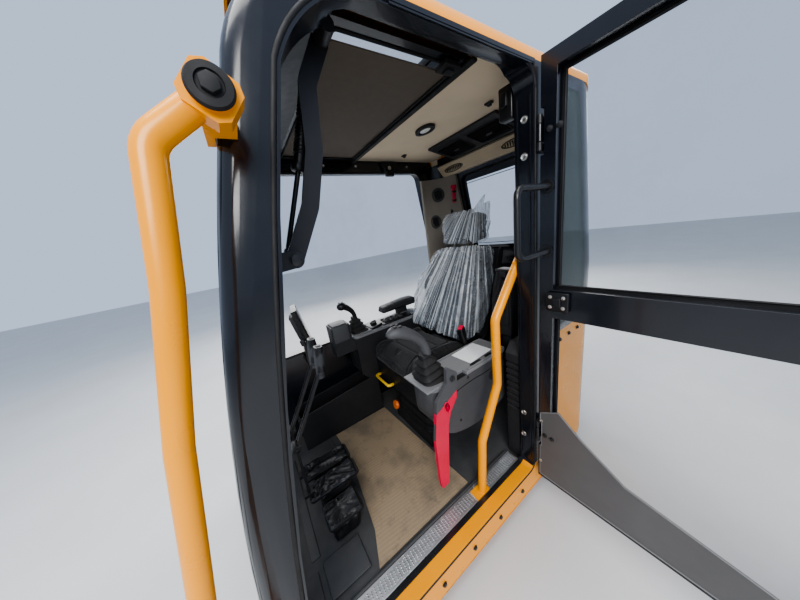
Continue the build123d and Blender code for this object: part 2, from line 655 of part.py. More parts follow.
def make_consoles():
    """Left and right console with their top covers, boots and joysticks."""
    low = CONSOLE_TOP - TRIM_TOP_T
    belly = [
        Line((CONSOLE_FRONT, up(low)), (CONSOLE_FRONT + 12, up(380))),
        ThreePointArc((CONSOLE_FRONT + 12, up(380)), (-146, up(298)), (-95, up(258))),
        ThreePointArc((-95, up(258)), (50, up(226)), (220, up(252))),
        ThreePointArc((220, up(252)), (244, up(274)), (CONSOLE_REAR, up(320))),
        Line((CONSOLE_REAR, up(320)), (CONSOLE_REAR, up(low))),
        Line((CONSOLE_REAR, up(low)), (CONSOLE_FRONT, up(low))),
    ]
    plan = front_rounded(CONSOLE_IN, CONSOLE_OUT, CONSOLE_FRONT, CONSOLE_REAR, CONSOLE_ROUND, 20)
    left = slab_x(make_face(belly), CONSOLE_IN, CONSOLE_OUT)
    left &= extrude(Pos(0, 0, up(0)) * plan, amount=CONSOLE_TOP)
    collar = LEVER_X - SEAT_GAP
    left += block(CONSOLE_OUT, collar, LEVER_PIVOT_Y - 18, LEVER_PIVOT_Y + 18, 400, LEVER_PIVOT_H + 5)
    left += pin_x(CONSOLE_OUT, LEVER_X + LEVER_T + 4, LEVER_PIVOT_Y, LEVER_PIVOT_H, LEVER_PIN_R)
    left -= pin_x(CONSOLE_OUT - 4, CONSOLE_OUT + 1, 150, 410, 24)
    keep("console_left", left)
    low = RIGHT_TOP - TRIM_TOP_T
    body = polygon([(-226, 330), (-170, 262), (140, 232), (250, 262), (250, low), (-226, low)], 12)
    right = slab_x(body, RIGHT_OUT, RIGHT_IN)
    right += block(RIGHT_IN - 92, RIGHT_IN - 6, -340, -240, low - 60, 646)
    right += block(RIGHT_IN - 92, RIGHT_IN - 6, -241, -220, low - 60, low)
    keep("console_right", right)
    covers = []
    table = (  # x0, x1, y0, y1, top, front corners
        (CONSOLE_IN - 3, CONSOLE_OUT + 4, CONSOLE_FRONT - 6, COVER_REAR, CONSOLE_TOP, CONSOLE_ROUND + 3),
        (RIGHT_OUT - 3, RIGHT_IN + 3, -232, COVER_REAR, RIGHT_TOP, 30),
    )
    for x0, x1, y0, y1, top, radius in table:
        plan = front_rounded(x0, x1, y0, y1, radius, 22)
        thick = TRIM_TOP_T - SEAT_GAP
        covers.append(Pos(0, 0, up(top - thick)) * extrude(plan, amount=thick))
    under = CONSOLE_TOP - 2 * TRIM_TOP_T
    covers[0] -= block(CONSOLE_OUT - 22, CONSOLE_OUT + 5, -72, -6, under, CONSOLE_TOP + 1)
    covers[0] -= block(CONSOLE_OUT - SEAT_GAP, CONSOLE_OUT + 5, LEVER_PIVOT_Y - 19, LEVER_PIVOT_Y + 19,
                       under, CONSOLE_TOP + 1)
    keep("console_covers", *covers)
    boots = []
    for x, y, base, low, top, height in ((STICK_LEFT, -134, CONSOLE_TOP, 62, 26, 112),
                                         (STICK_RIGHT, -178, RIGHT_TOP, 52, 22, 92)):
        boots.append(bellows(x, y, base, low, top, height, 4))
    keep("joystick_boots", *boots)
    stick = polygon([(-152, 612.6), (-116, 612.6), (-116, 646), (-222, 752), (-262, 758), (-284, 740),
                     (-280, 718), (-244, 716), (-152, 636)])
    grip = slab_x(stick, STICK_LEFT - GRIP_R, STICK_LEFT + GRIP_R)
    grip = chamfer(grip.edges().filter_by(GeomType.LINE), 5)
    stem = slab_x(polygon([(-191, 652.6), (-165, 652.6), (-165, 676), (-216, 722), (-240, 712), (-191, 668)]),
                  STICK_RIGHT - 13, STICK_RIGHT + 13)
    ball = Pos(STICK_RIGHT, -238, up(726)) * chamfer(Box(46, 46, 46).edges(), 12)
    keep("joystick_grips", grip, stem + ball)
    armrest = slab_x(rounded(0, 270, 596, 656, 24), RIGHT_OUT - 20, RIGHT_OUT + 68)
    post = block(RIGHT_OUT + 4, RIGHT_OUT + 44, 120, 200, RIGHT_TOP + SEAT_GAP, 597)
    keep("armrest_right", armrest + post)


def make_lever():
    """Red safety lever that hangs on its pin outside the left console."""
    outline = [(-129, 56), (-80, 14), (-93, -88), (-130, -133), (-147, -181), (-178, -442),
               (-214, -446), (-219, -404), (-217, -212), (-190, -60), (-135, -10)]
    side = polygon([(y, LEVER_PIVOT_H + rise) for y, rise in outline], 8)
    lever = slab_x(side, LEVER_X, LEVER_X + LEVER_T)
    lever -= pin_x(LEVER_X - 1, LEVER_X + LEVER_T + 1, LEVER_PIVOT_Y, LEVER_PIVOT_H, LEVER_PIN_R + 0.1)
    slot = slab_x(Pos(-145, up(LEVER_PIVOT_H - 102)) * Rot(0, 0, 20) * SlotOverall(44, 20, rotation=90),
                  LEVER_X - 1, LEVER_X + LEVER_T + 1)
    keep("safety_lever", lever - slot)


def make_pedals():
    """Two travel pedals with their gaiters and long hand levers, and one foot pedal."""
    pads = []
    boots = []
    levers = []
    table = (  # x, front, rear, width, top
        (-52, -652, -446, 84, PEDAL_H),
        (50, -652, -446, 84, PEDAL_H),
        (165, -622, -486, 104, PEDAL_H - 24),
    )
    for x, front, rear, width, top in table:
        middle = (front + rear) / 2
        plan = RectangleRounded(width, rear - front, 14)
        pads.append(Pos(x, middle, up(top - PEDAL_T)) * extrude(plan, amount=PEDAL_T))
        tall = top - PEDAL_T - 2 * SEAT_GAP
        foot = Pos(x, middle - 20, up(SEAT_GAP)) * Rectangle(width - 10, 130)
        boots.append(extrude(foot, amount=tall, taper=8))
    for x, front, rear, width, top in table[:2]:
        lever = block(x - 16, x + 16, front - 14, front + 22, top + SEAT_GAP, top + 14)
        for side in (-8, 8):
            lever += slab_x(polygon([(front + 1, top + 6), (front + 11, top + 6), (front + 17, 350),
                                     (-477, 618), (-486, 622), (front + 7, 352)]), x + side - 4, x + side + 4)
        handle = Plane(origin=(x, -478, up(655)), z_dir=(0, 0.12, 1)) * extrude(
            RectangleRounded(30, 36, 12), amount=50, both=True)
        levers.append(lever + handle)
    keep("pedals", *pads)
    keep("pedal_gaiters", *boots)
    keep("travel_levers", *levers)


# Seat

def make_seat():
    """Suspension base, pan, cushion, back with its shell and recliner, and headrest."""
    bellows = block(SEAT_X - 160, SEAT_X + 160, -80, 270, SEAT_GAP, 60)
    folds = 4
    rise = (BASE_TOP - 60) / folds
    for i in range(folds):
        low = 60 + i * rise
        for share, inset in ((1.0, 14), (FOLD_SHARE, 0)):
            plan = chamfer(Rectangle(300 - 2 * inset, 320 - 2 * inset).vertices(), 30)
            bellows += Pos(SEAT_X, 95, up(low)) * extrude(plan, amount=rise * share)
    keep("seat_base", bellows)
    pan_top = CUSHION_BOTTOM - SEAT_GAP
    pan = block(SEAT_X - CUSHION_HALF, SEAT_X + CUSHION_HALF, PAN_FRONT, PAN_REAR,
                BASE_TOP + SEAT_GAP, pan_top)
    shell = polygon([(PIVOT_Y - 18, PIVOT_H - 18), (PIVOT_Y + 24, PIVOT_H - 18), (372, 505), (500, 880),
                     (488, 916), (470, 908), (333, 490), (PIVOT_Y - 18, PIVOT_H + 18)])
    pan += block(RIGHT_IN + SEAT_GAP, CONSOLE_IN - SEAT_GAP, -40, 140, BASE_TOP + SEAT_GAP, 330)
    ear_out = BACK_LOW_HALF
    wide = ear_out + 8
    shell = slab_x(shell, SEAT_X - wide, SEAT_X + wide)
    low = PIVOT_H - 50
    hollow = polygon([(200, low), (318, low), (340, 470), (500, 940), (330, 960), (200, 480)])
    shell -= slab_x(hollow, SEAT_X - wide + 8, SEAT_X + wide - 8)
    for side in (-1, 1):
        ear_x = SEAT_X + side * (ear_out - 3)
        pan += block(ear_x - 3, ear_x + 3, PIVOT_Y - 18, PIVOT_Y + 18, pan_top, PIVOT_H + 16)
        pin_mid = SEAT_X + side * (ear_out + 3)
        pan += pin_x(pin_mid - 7, pin_mid + 7, PIVOT_Y, PIVOT_H, 8)
        shell -= pin_x(SEAT_X + side * ear_out - 20, SEAT_X + side * ear_out + 20, PIVOT_Y, PIVOT_H, 8.1)
    keep("seat_pan", pan)
    side = polygon([(CUSHION_FRONT, CUSHION_BOTTOM), (CUSHION_REAR - 20, CUSHION_BOTTOM),
                    (CUSHION_REAR - 55, 490), (CUSHION_FRONT + 30, CUSHION_TOP)], 24)
    keep("seat_cushion", slab_x(side, SEAT_X - CUSHION_HALF + 5, SEAT_X + CUSHION_HALF - 5))
    slope = (500 - 340) / (940 - 470)
    rear = 340 - 2 * SEAT_GAP
    back = polygon([(224, 512), (rear + 20 * slope, 490), (rear + 430 * slope, 900), (464, 936), (384, 930),
                    (300, 760)])
    low_half = BACK_LOW_HALF - 10
    front_view = polygon([(SEAT_X - low_half, 480), (SEAT_X + low_half, 480), (SEAT_X + low_half, 590),
                          (SEAT_X + BACK_HALF, 720), (SEAT_X + BACK_TOP_HALF, 940),
                          (SEAT_X - BACK_TOP_HALF, 940), (SEAT_X - BACK_HALF, 720), (SEAT_X - low_half, 590)])
    head = polygon([(404, 952), (496, 955), (520, 1100), (450, 1122), (414, 1084)])
    post_x = (SEAT_X - 60, SEAT_X + 60)
    posts = [rod([(x, 430, 925), (x, 448, 975)], 7, 5) for x in post_x]
    sockets = [rod([(x, 429, 922), (x, 449, 978)], 7.3, 5) for x in post_x]
    half = BACK_HALF + 1
    back = slab_x(back, SEAT_X - half, SEAT_X + half) & slab_y(front_view, 0, CAB_REAR)
    clear = wide - 8 - SEAT_GAP
    behind = polygon([(302, 400), (499, 1000), (CAB_REAR, 1000), (CAB_REAR, 400)])
    back -= slab_x(behind, SEAT_X + clear, SEAT_X + half + 1)
    back -= slab_x(behind, SEAT_X - half - 1, SEAT_X - clear)
    head = slab_x(head, SEAT_X - HEAD_HALF, SEAT_X + HEAD_HALF)
    for socket in sockets:
        back -= socket
        head -= socket
    keep("seat_shell", shell)
    keep("seat_back", back)
    keep("headrest", head)
    keep("headrest_posts", *posts)


# Fittings

def make_floor_fittings():
    """Tread plate, cardboard sheet, storage trough and the box behind the seat."""
    side = CAB_HALF - FRAME_DEPTH - 2
    keep("tread_plate", block(MAT_LEFT + SEAT_GAP, side, -640, OPENING_REAR - 15, -MAT_T, TREAD_T))
    far = MAT_LEFT - 22
    near = TROUGH_IN + 6
    sheet = make_face(Polyline([(near, -115), (far - 4, -80), (far, -517), (254, -478), (-112, -430),
                                (near, -440)], close=True))
    keep("floor_sheet", Pos(0, 0, up(SEAT_GAP)) * extrude(sheet, amount=4))
    out = -(CAB_HALF - FRAME_DEPTH - 4)
    body = polygon([(-600, SEAT_GAP), (-115, SEAT_GAP), (-115, 248), (-150, 248), (-592, 204), (-600, 190)])
    trough = slab_x(body, out, TROUGH_IN)
    inside = polygon([(-588, 20), (-127, 20), (-127, 300), (-588, 300)])
    keep("storage_trough", trough - slab_x(inside, out + 8, TROUGH_IN - 8))
    back = block(-CAB_HALF, CAB_HALF, LINER_REAR, CAB_REAR, SEAT_GAP, 700) & room(2)
    keep("rear_box", back)
    front = OPENING_REAR + 6
    face = polygon([(front, SEAT_GAP), (500, SEAT_GAP), (500, 560), (front + 34, 560), (front, 520)])
    cover = slab_x(face, side - 60, side)
    for i in range(8):
        height = 262 + 30 * i
        cover -= block(side - 61, side - 52, OPENING_REAR + 30, 440, height, height + 12)
        cover -= block(side - 61, side + 1, OPENING_REAR, OPENING_REAR + 14, height, height + 12)
    keep("side_cover_left", cover)


def make_bars():
    """Grab bar inside the door, handrail outside the front corner."""
    bar_x = CAB_HALF - FRAME_DEPTH - BAR_R - SEAT_GAP
    bar = rod([(bar_x, 240, 925), (bar_x, 171, 848), (bar_x, 66, 715), (bar_x, 63, 452), (bar_x, -46, 250),
               (bar_x, -66, TREAD_T + 5)], BAR_R, 50)
    foot = block(bar_x - 24, CAB_HALF - FRAME_DEPTH - SEAT_GAP, -110, -40, TREAD_T + SEAT_GAP, TREAD_T + 7)
    bar &= block(0, CAB_HALF, -400, OPENING_REAR + 35, 0, 2000)
    tab = block(bar_x - 4, CAB_HALF - FRAME_DEPTH - SEAT_GAP, OPENING_REAR + 6, OPENING_REAR + 32, 850, 900)
    keep("grab_bar", bar + foot + tab)
    rail = rod([(RAIL_X, -606, 1230), (RAIL_X, -664, 1186), (RAIL_X, -694, 1040), (RAIL_X, -743, 849),
                (RAIL_X, -796, 590), (RAIL_X, -812, 240)], RAIL_R, 40)
    head = Plane(origin=(RAIL_X - 8, -597, up(1230)), x_dir=(0, -0.8, 0.6), z_dir=(1, 0, 0)) * extrude(
        Rectangle(50, 50), amount=26)
    rail += chamfer(head.edges().filter_by(Axis.X), 9)
    boss = pin_x(RAIL_X + 17, RAIL_X + 24, -597, 1230, 19)
    rail += boss
    reach = (CAB_HALF - 30, RAIL_X)
    for y, height in ((-600, 1230), (-806, 260)):
        foot = block(reach[0], reach[1], y - 14, y + 22, height - 14, height + 14)
        rail += foot - slab_x(cab_side(), 0, CAB_HALF + 1)
    keep("handrail", rail)


def make_screen_gear():
    """Lift arm and gas strut of the opening windscreen, and the monitor by the right pillar."""
    x = CAB_HALF - 108
    path = FilletPolyline(*[(x, y, up(h)) for y, h in ((-382, 1434), (-424, 1360), (-440, 1240), (-472, 1140),
                                                       (-528, 1040))], radius=50)
    start = Plane(origin=path @ 0, x_dir=(1, 0, 0), z_dir=path % 0)
    arm = sweep(start * Rectangle(8, 34), path=path)
    inner = CAB_HALF - FRAME_DEPTH - SEAT_GAP
    arm += pin_x(x - 8, inner, -383, 1432, 14)
    arm += pin_x(x - 8, x + 10, -528, 1040, 17)
    bracket = slab_x(polygon([(-700, 1010), (-700, 1062), (-528, 1058), (-514, 1040), (-528, 1024)]),
                     x + 5, x + 12)
    arm += bracket & slab_x(offset(cab_side(), amount=-WALL - SEAT_GAP), 0, CAB_HALF)
    arm += pin_x(x - 9 + SEAT_GAP, x, -424, 1350, 8)
    arm += pin_x(x - 10 + SEAT_GAP, x + 6, -532, 1058, 5)
    keep("lift_arm", arm)
    strut = rod([(x - 20, -421, 1362), (x - 20, -474, 1210)], 11, 5)
    strut += rod([(x - 20, -470, 1222), (x - 20, -532, 1064)], 5, 5)
    strut += pin_x(x - 28, x - 10, -532, 1058, 9)
    keep("gas_strut", strut)
    face = Plane(origin=(RIGHT_OUT + 28, -452, up(672)), x_dir=(0.98, -0.17, 0), z_dir=(0.03, -0.19, 0.98))
    screen = face * extrude(RectangleRounded(128, 26, 8), amount=112, both=True)
    arm = block(-CAB_HALF + FRAME_DEPTH + SEAT_GAP, RIGHT_OUT, -470, -436, 440, 480)
    arm += block(RIGHT_OUT - 20, RIGHT_OUT + 10, -468, -440, 440, 580)
    keep("monitor", screen + arm)


make_base()
make_sides()
make_ends()
make_roof()
make_hatch()
make_ceiling()
make_pillars()
make_door()
make_consoles()
make_lever()
make_pedals()
make_seat()
make_floor_fittings()
make_bars()
make_screen_gear()

os.makedirs("parts", exist_ok=True)
for name, node in PARTS.items():
    export_step(node, f"parts/{name}.step")
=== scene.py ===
# %% [markdown]
# This notebook dresses the operator's cab of a crawler excavator. The steel shell, the panes, the
# seat's carriers and the hinges come from the CAD model, already at their places in metres.
# Everything here is added around them: seals, bolts, cushions, bellows, switches and every finish.

# %% Load the frame
import json
import math

import bmesh
import bpy
import numpy as np
from mathutils import Matrix, Vector, noise

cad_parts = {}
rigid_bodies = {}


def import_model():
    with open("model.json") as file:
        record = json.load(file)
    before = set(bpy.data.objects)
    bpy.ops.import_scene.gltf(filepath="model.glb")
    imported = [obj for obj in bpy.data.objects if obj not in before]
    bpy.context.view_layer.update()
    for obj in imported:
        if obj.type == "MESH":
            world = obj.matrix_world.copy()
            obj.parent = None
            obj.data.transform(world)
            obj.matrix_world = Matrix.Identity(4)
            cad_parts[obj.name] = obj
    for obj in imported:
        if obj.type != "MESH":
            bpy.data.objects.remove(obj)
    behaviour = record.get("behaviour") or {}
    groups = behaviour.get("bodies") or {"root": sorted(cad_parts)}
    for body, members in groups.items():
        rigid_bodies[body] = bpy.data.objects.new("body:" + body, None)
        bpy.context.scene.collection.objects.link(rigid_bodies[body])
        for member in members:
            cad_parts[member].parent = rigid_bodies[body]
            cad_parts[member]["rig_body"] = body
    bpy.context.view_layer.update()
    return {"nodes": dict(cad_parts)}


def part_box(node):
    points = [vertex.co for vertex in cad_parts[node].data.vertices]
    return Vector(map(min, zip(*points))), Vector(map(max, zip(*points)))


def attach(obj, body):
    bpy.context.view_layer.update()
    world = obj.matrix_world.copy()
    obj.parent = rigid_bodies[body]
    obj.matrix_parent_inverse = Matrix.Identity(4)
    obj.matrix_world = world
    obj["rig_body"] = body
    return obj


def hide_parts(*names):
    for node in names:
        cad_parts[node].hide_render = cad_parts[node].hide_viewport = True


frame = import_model()
nodes = frame["nodes"]
FLOOR = 0.170  # metres from the mounts up to the top of the floor mat

# %% [markdown]
# The camera stands outside the open door, a little ahead of it, as someone who is about to climb in.
# It is a wide phone lens, so the picture stretches toward its edges. Its place, its direction and
# its focal length were solved beforehand from the straight edges of the cab, and are set here.

# %% Camera
PICTURE_WIDTH = 800  # pixels
FOCAL_LENGTH = 238.03  # pixels
SENSOR = 36.0  # mm
eye = Vector((0.9245, -0.6190, 1.2301))
right = Vector((0.5508, 0.8210, -0.1502)).normalized()
forward = Vector((-0.8221, 0.5027, -0.2673))
forward = (forward - right * forward.dot(right)).normalized()
lens = bpy.data.cameras.new("camera")
lens.sensor_width = SENSOR
lens.lens = SENSOR * FOCAL_LENGTH / PICTURE_WIDTH
lens.clip_start = 0.02
camera = bpy.data.objects.new("camera", lens)
axes = Matrix((right, right.cross(forward), -forward)).transposed().to_4x4()
camera.matrix_world = Matrix.Translation(eye) @ axes
bpy.context.scene.collection.objects.link(camera)
bpy.context.scene.camera = camera
print("camera at", tuple(round(v, 3) for v in eye), "lens", round(lens.lens, 2), "mm")

# %% [markdown]
# A few short helpers save repeating the same lines for each piece. Places are given as on the
# drawing, in millimetres with the height counted from the floor mat. A small shape is made in a
# bmesh of its own, at the origin, and is then put into the piece's bmesh at its place.

# %% Helpers: places and small shapes
WELD = 1e-6  # metres; points nearer to each other than this become one
HEXAGON = 1.15  # width over the corners for a width of one over the flats
WASHER = 1.6  # thickness in mm


def at(x, y, h):
    """Place in metres of a point given in millimetres, its height from the mat."""
    return Vector((x / 1000, y / 1000, FLOOR + h / 1000))


def facing(place, direction, spin=0.0):
    """Matrix that puts a shape at a place, with its own Z along a direction."""
    turn = Vector(direction).to_track_quat("Z", "Y").to_matrix().to_4x4()
    return Matrix.Translation(place) @ turn @ Matrix.Rotation(math.radians(spin), 4, "Z")


def into(bm, part, matrix):
    """Moves a small bmesh to its place and adds it to a bigger one."""
    bmesh.ops.transform(part, matrix=matrix, verts=part.verts)
    if matrix.to_3x3().determinant() < 0:
        bmesh.ops.reverse_faces(part, faces=part.faces)
    held = bpy.data.meshes.new("held")
    part.to_mesh(held)
    part.free()
    bm.from_mesh(held)
    bpy.data.meshes.remove(held)


def rounded(bm, width, segments, angle=30):
    """Bevels the edges of a bmesh that are sharper than an angle."""
    limit = math.radians(angle)
    edges = [e for e in bm.edges if e.is_manifold and e.calc_face_angle(0) > limit]
    bmesh.ops.bevel(bm, geom=edges, offset=width / 1000, affect="EDGES", segments=segments,
                    profile=0.5, material=-1, clamp_overlap=True)
    return bm


def slab(size_x, size_y, size_z, edge=1.5, segments=2):
    """A box with rounded edges, in millimetres, centred on its own origin."""
    bm = bmesh.new()
    bmesh.ops.create_cube(bm, size=1.0)
    bmesh.ops.scale(bm, vec=Vector((size_x, size_y, size_z)) / 1000, verts=bm.verts)
    return rounded(bm, edge, segments)


def post(radius, length, edge=1.0, sides=24):
    """An upright round post that starts at its own origin, with rounded rims."""
    bm = bmesh.new()
    bmesh.ops.create_cone(bm, cap_ends=True, segments=sides, radius1=radius / 1000,
                          radius2=radius / 1000, depth=length / 1000)
    bmesh.ops.translate(bm, vec=Vector((0, 0, length / 2000)), verts=bm.verts)
    return rounded(bm, edge, 2, angle=50) if edge else bm


def lathe(profile, steps=32):
    """Spins a profile of (radius, height) millimetres round the Z axis."""
    bm = bmesh.new()
    points = [bm.verts.new((r / 1000, 0, h / 1000)) for r, h in profile]
    edges = [bm.edges.new(pair) for pair in zip(points, points[1:])]
    bmesh.ops.spin(bm, geom=points + edges, cent=(0, 0, 0), axis=(0, 0, 1), angle=math.tau,
                   steps=steps, use_merge=True, use_duplicate=False)
    bmesh.ops.remove_doubles(bm, verts=bm.verts, dist=WELD)
    bmesh.ops.recalc_face_normals(bm, faces=bm.faces)
    return bm


def hex_bolt(across, head):
    """Hexagon bolt head, its width over the flats given, on a washer a third wider."""
    bm = post(across * 1.35 / 2 * HEXAGON, WASHER, 0.4, 20)
    into(bm, post(across / 2 * HEXAGON, head, 0.7, 6), Matrix.Translation((0, 0, WASHER / 1000)))
    return bm


def cap_screw(radius, head):
    """Round socket screw, its hexagon hole sunk by inset and a push down."""
    bm = post(radius, head, 0.8, 18)
    top = max(bm.faces, key=lambda f: f.calc_center_median().z)
    bmesh.ops.inset_region(bm, faces=[top], thickness=radius * 0.45 / 1000)
    bmesh.ops.translate(bm, vec=Vector((0, 0, -head * 0.5 / 1000)), verts=top.verts)
    return bm


# %% [markdown]
# A bar, a seal or a strap is a section that follows a line. A curve object with a bevel does
# that in one go and keeps the section square to the line; the result is then taken as a mesh.

# %% Helpers: lines with a section
def follow(points, radius=None, section=None, closed=False, smooth=False, sides=8, tilt=0.0):
    """A bmesh of a round bar, or of a flat section (width, thickness), along points in metres."""
    curve = bpy.data.curves.new("line", "CURVE")
    curve.dimensions = "3D"
    curve.resolution_u = 6
    spline = curve.splines.new("NURBS" if smooth else "POLY")
    spline.points.add(len(points) - 1)
    for spot, place in zip(spline.points, points):
        spot.co = (*place, 1)
        spot.tilt = tilt
    spline.use_cyclic_u = closed
    if smooth:
        spline.order_u = 3
        spline.use_endpoint_u = True
    profile = None
    if radius is not None:
        curve.bevel_depth = radius / 1000
        curve.bevel_resolution = max(1, sides // 4)
    else:
        shape = bpy.data.curves.new("section", "CURVE")
        across, thick = section[0] / 2000, section[1] / 2000
        outline = shape.splines.new("POLY")
        outline.points.add(3)
        four = ((-across, -thick), (across, -thick), (across, thick), (-across, thick))
        for spot, (a, b) in zip(outline.points, four):
            spot.co = (a, b, 0, 1)
        outline.use_cyclic_u = True
        profile = bpy.data.objects.new("section", shape)
        curve.bevel_mode = "OBJECT"
        curve.bevel_object = profile
    curve.use_fill_caps = not closed
    carrier = bpy.data.objects.new("line", curve)
    bpy.context.scene.collection.objects.link(carrier)
    bpy.context.view_layer.update()
    depsgraph = bpy.context.evaluated_depsgraph_get()
    made = bpy.data.meshes.new_from_object(carrier.evaluated_get(depsgraph))
    bm = bmesh.new()
    bm.from_mesh(made)
    bmesh.ops.remove_doubles(bm, verts=bm.verts, dist=WELD)
    bmesh.ops.recalc_face_normals(bm, faces=bm.faces)
    bpy.data.meshes.remove(made)
    bpy.data.objects.remove(carrier)
    if profile:
        bpy.data.objects.remove(profile)
    return bm


def arc(a, b, c, count=6):
    """Points on the arc through three flat points, without the last one."""
    (ax, ay), (bx, by), (cx, cy) = a, b, c
    d = 2 * (ax * (by - cy) + bx * (cy - ay) + cx * (ay - by))
    ux = ((ax**2 + ay**2) * (by - cy) + (bx**2 + by**2) * (cy - ay) + (cx**2 + cy**2) * (ay - by)) / d
    uy = ((ax**2 + ay**2) * (cx - bx) + (bx**2 + by**2) * (ax - cx) + (cx**2 + cy**2) * (bx - ax)) / d
    first, mid, last = (math.atan2(p[1] - uy, p[0] - ux) for p in (a, b, c))
    turn = (last - first) % math.tau
    if (mid - first) % math.tau > turn:
        turn -= math.tau
    size = math.hypot(ax - ux, ay - uy)
    angles = [first + turn * i / count for i in range(count)]
    return [(ux + size * math.cos(a), uy + size * math.sin(a)) for a in angles]


def grown(loop, amount):
    """A closed flat loop moved outward by an amount."""
    area = sum(p[0] * q[1] - q[0] * p[1] for p, q in zip(loop, loop[1:] + loop[:1]))
    side = 1 if area > 0 else -1
    result = []
    for before, here, after in zip(loop[-1:] + loop[:-1], loop, loop[1:] + loop[:1]):
        along = Vector((after[0] - before[0], after[1] - before[1])).normalized()
        result.append((here[0] + side * along.y * amount, here[1] - side * along.x * amount))
    return result


def corners(points, radius):
    """A closed flat loop with its corners rounded."""
    loop = []
    for before, here, after in zip(points[-1:] + points[:-1], points, points[1:] + points[:1]):
        h = Vector(here)
        a = (Vector(before) - h).normalized()
        b = (Vector(after) - h).normalized()
        half = a.angle(b) / 2
        reach = radius / math.tan(half)
        centre = h + (a + b).normalized() * (radius / math.sin(half))
        middle = centre + (h - centre).normalized() * radius
        start, end = h + a * reach, h + b * reach
        loop += arc(tuple(start), tuple(middle), tuple(end)) + [tuple(end)]
    return loop


# %% [markdown]
# Every finished bmesh becomes a named object in the same manner: smooth shading with sharp
# edges kept past an angle, a finish, and the body that it rides on when a joint moves.

# %% Helper: from bmesh to a named piece
made_pieces = []


def piece(name, bm, finish, body, sharp=35, bevel=None, stands_for=()):
    """Turns a bmesh into a named object at the origin, with its finish and body."""
    mesh = bpy.data.meshes.new(name)
    for look in finish if isinstance(finish, tuple) else (finish,):
        mesh.materials.append(look)
    bm.to_mesh(mesh)
    bm.free()
    mesh.shade_smooth()
    if sharp is not None:
        mesh.set_sharp_from_angle(angle=math.radians(sharp))
    obj = bpy.data.objects.new(name, mesh)
    bpy.context.scene.collection.objects.link(obj)
    if bevel:
        soft = obj.modifiers.new("edges", "BEVEL")
        soft.width = bevel / 1000
        soft.segments = 2
        soft.limit_method = "ANGLE"
        soft.angle_limit = math.radians(40)
        soft.harden_normals = True
    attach(obj, body)
    if stands_for:
        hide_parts(*stands_for)
    made_pieces.append(obj)
    print(name, len(mesh.polygons), "faces on", body)
    return obj

# %% [markdown]
# All finishes are built from nodes, with patterns in Object coordinates. The pieces sit at the
# origin, so one metre of pattern is one metre of cab, and a grain of half a millimetre is the same
# on each piece. One helper lays the usual layers: a base that varies a little, a roughness that
# varies more, a fine bump, and dust on faces that look up.

# %% Helper: a finish in layers
def graph(name):
    """A new material with its node tree and main shader."""
    mat = bpy.data.materials.new(name)
    mat.use_nodes = True
    return mat, mat.node_tree, mat.node_tree.nodes["Principled BSDF"]


def put(tree, kind, sets=None, **inputs):
    """Adds a node, sets its options and inputs, and links inputs that come from other nodes."""
    n = tree.nodes.new(kind)
    for key, value in (sets or {}).items():
        setattr(n, key, value)
    for key, value in inputs.items():
        socket = n.inputs[int(key[1:])] if key[1:].isdigit() else n.inputs[key.replace("_", " ")]
        if isinstance(value, bpy.types.NodeSocket):
            tree.links.new(value, socket)
        else:
            socket.default_value = value
    return n


def blend_of(tree, share, first, second):
    """Mixes two colours by a share."""
    n = put(tree, "ShaderNodeMix", {"data_type": "RGBA"})
    for socket, value in ((n.inputs[0], share), (n.inputs[6], first), (n.inputs[7], second)):
        if isinstance(value, bpy.types.NodeSocket):
            tree.links.new(value, socket)
        else:
            socket.default_value = value
    return n.outputs[2]


def spread(tree, value, low, high, to_low, to_high):
    """Maps one range of a value onto another, kept inside it."""
    n = put(tree, "ShaderNodeMapRange", Value=value)
    for i, number in enumerate((low, high, to_low, to_high)):
        n.inputs[1 + i].default_value = number
    return n.outputs[0]


def speckle(tree, place, scale, detail=3.0, rough=0.5):
    """Noise of a scale, per metre."""
    return put(tree, "ShaderNodeTexNoise", Vector=place, Scale=scale, Detail=detail,
               Roughness=rough).outputs[0]


def sum_of(tree, operation, first, second, third=None, clamped=False):
    """A Math node on two or three values."""
    values = {"_0": first, "_1": second}
    if third is not None:
        values["_2"] = third
    return put(tree, "ShaderNodeMath", {"operation": operation, "use_clamp": clamped}, **values).outputs[0]


def bumped(tree, shader, height, strength, distance):
    """Puts a bump on a shader; the distance is in metres."""
    bump = put(tree, "ShaderNodeBump", Height=height, Strength=strength, Distance=distance)
    tree.links.new(bump.outputs[0], shader.inputs["Normal"])


DUST = (0.42, 0.37, 0.30)


